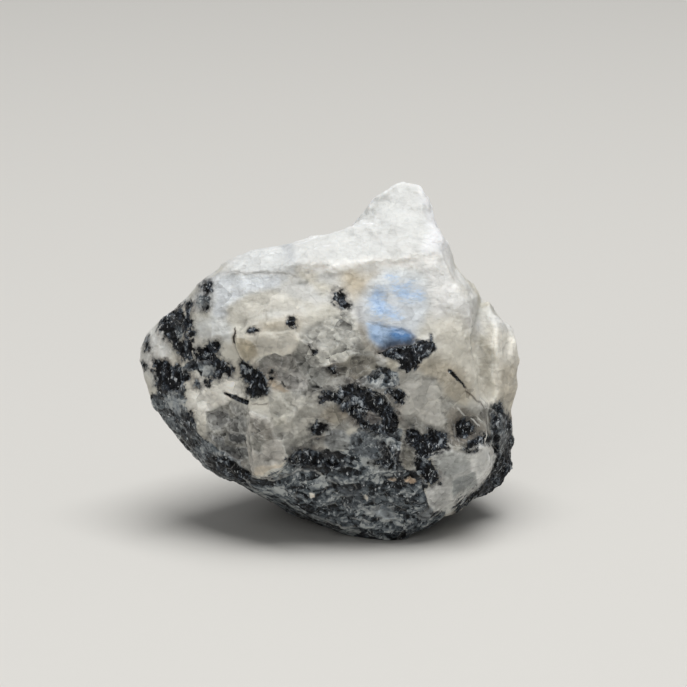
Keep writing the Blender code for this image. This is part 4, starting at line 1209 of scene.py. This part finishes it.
def makeStoneMaterial(s):
    m = NodeSheet("moonstone")
    here = m.scaled(m.add("TexCoord", output=3), 1 / mm)
    shaken = m.shaken(here, 1.3, 0.9, 4)
    flakes = m.stretched(m.shaken(here, 0.7, 0.8, 2), (0.5, 0.35, 0.6), (1.0, 0.75, 1.25))
    at = {name: m.attribute(name) for name in ("black", "slaty", "clear", "rim", "edge", "bend", "sheen")}
    # the patterns that make the tones, by name
    p = {
        "cloud": m.swing(shaken, 0.36, 6, 0.6),
        "streak": m.swing(m.stretched(shaken, (0.4, 0.9, 0.2), (0.3, 1.1, 2.6)), 0.9, 6, 0.65),
        "fine": m.swing(here, 2.0, 6, 0.7),
        "faceTone": m.attribute("tone"),
        # painted highlight on sharp edges and painted shade in creases, from how the surface bends
        "paintedEdgeLight": m.step(at["bend"], 0.1, 0.85),
        "paintedCreaseShade": m.step(at["bend"], -0.1, -0.85),
    }
    p["largeTone"], p["largeLean"] = m.facets(flakes, 0.45)
    p["smallTone"], p["smallLean"] = m.facets(flakes, 1.15)
    addRims(m, here, flakes, at, p)

    slatyMask = m.step(m.math("ADD", at["slaty"], m.times(m.swing(here, 0.9, 7, 0.7), 1.5)), 0.35, 0.62)
    blackMask, halo, black = blackCrystals(m, s, here, shaken, at, p)
    dark = m.larger(blackMask, slatyMask)
    feldspar = feldsparColour(m, s, here, shaken, at, p)
    colour = m.blend(slatyMask, feldspar, slateColour(m, s, here, shaken, p))
    colour = m.blend(halo, colour, linear(*s["halo"]))
    colour = m.blend(blackMask, colour, black)
    colour = m.blend(m.times(p["lightLines"], m.between(dark, 0.75, 0.6)), colour, linear(*s["lightEdge"]))
    colour = m.blend(m.times(p["fringe"], m.math("SUBTRACT", 1.0, dark)), colour, linear(*s["brown"]))
    colour = m.blend(p["darkRim"], colour, linear(*s["darkEdge"]))

    # glints: thin bright slivers in the dark rock
    thin = m.stretched(shaken, (0.2, 0.9, 0.5), (1.0, 1.0, 0.3))
    slivers = m.add("TexVoronoi", {"Vector": thin, "Scale": 5.5}, output=1)
    sliver = m.step(m.add("SeparateColor", {"Color": slivers}, output=1), 0.91, 0.95)
    sliver = m.times(sliver, m.larger(dark, m.times(at["clear"], 0.3)),
                     m.step(m.noise(here, 0.8, 3), 0.46, 0.57), 0.8)
    colour = m.blend(sliver, colour, linear(*s["glint"]))

    # bump: the small faces over fine grain
    p["largeBump"] = m.times(p["largeLean"], m.between(dark, 0.35, 0.5))
    p["smallBump"] = m.times(p["smallLean"], m.between(dark, 0.25, 0.5))
    p["bladeBump"] = m.times(p["bladeLean"], blackMask)
    bump = m.add("Bump", {"Height": m.total(s["bump"], p), "Distance": mm, "Strength": 1.0})

    p.update(clear=at["clear"], dark=dark)
    roughness = m.step(m.noise(here, 1.3, 4), 0.3, 0.7, 0.42, 0.62)
    roughness = m.total((roughness, dict(clear=-0.12, dark=-0.1)), p)
    for name, value in {"Base Color": colour, "Roughness": roughness, "Normal": bump,
                        "Subsurface Weight": m.between(dark, s["subsurface"], 0.0),
                        "Subsurface Radius": s["subsurfaceRadius"], "Subsurface Scale": mm,
                        "Specular IOR Level": s["specular"]}.items():
        m.set(m.shader.inputs[name], value)
    return m.material


stone.data.materials.clear()
stone.data.materials.append(makeStoneMaterial(stoneFinish))
print("stone material made")


# Pale floor and soft light from above, in metres and watts.

studio = {
    "floorColour": (214, 212, 207),
    "floorRoughness": 0.6,
    "floorReach": 3.0,
    "lamps": [
        dict(name="softbox", size=1.2, place=(0.13, -0.15, 1.6), power=27.5),
        dict(name="fill", size=1.0, place=(-0.5, -1.6, 0.9), power=4.2),
    ],
    "lampsAimAt": (0, 0, 0.03),
    "skyStrength": 0.18,
}


def makeFloor(s):
    reach = s["floorReach"]
    corners = [(-reach, -reach, 0), (reach, -reach, 0), (reach, reach, 0), (-reach, reach, 0)]
    mesh = bpy.data.meshes.new("floor")
    mesh.from_pydata(corners, [], [(0, 1, 2, 3)])
    floor = bpy.data.objects.new("floor", mesh)
    bpy.context.scene.collection.objects.link(floor)
    sheet = NodeSheet("paleFloor")
    sheet.set(sheet.shader.inputs["Base Color"], linear(*s["floorColour"]))
    sheet.set(sheet.shader.inputs["Roughness"], s["floorRoughness"])
    mesh.materials.append(sheet.material)


def makeLights(s):
    for lamp in s["lamps"]:
        data = bpy.data.lights.new(lamp["name"], "AREA")
        data.shape = "SQUARE"
        data.size = lamp["size"]
        data.energy = lamp["power"]
        light = bpy.data.objects.new(lamp["name"], data)
        light.location = lamp["place"]
        light.rotation_euler = (Vector(s["lampsAimAt"]) - light.location).to_track_quat("-Z", "Y").to_euler()
        bpy.context.scene.collection.objects.link(light)
    world = bpy.data.worlds.new("studio")
    world.use_nodes = True
    background = world.node_tree.nodes["Background"].inputs
    background["Color"].default_value = (1, 1, 1, 1)
    background["Strength"].default_value = s["skyStrength"]
    bpy.context.scene.world = world
    bpy.context.scene.view_settings.view_transform = "Standard"


makeFloor(studio)
makeLights(studio)
print("studio ready")
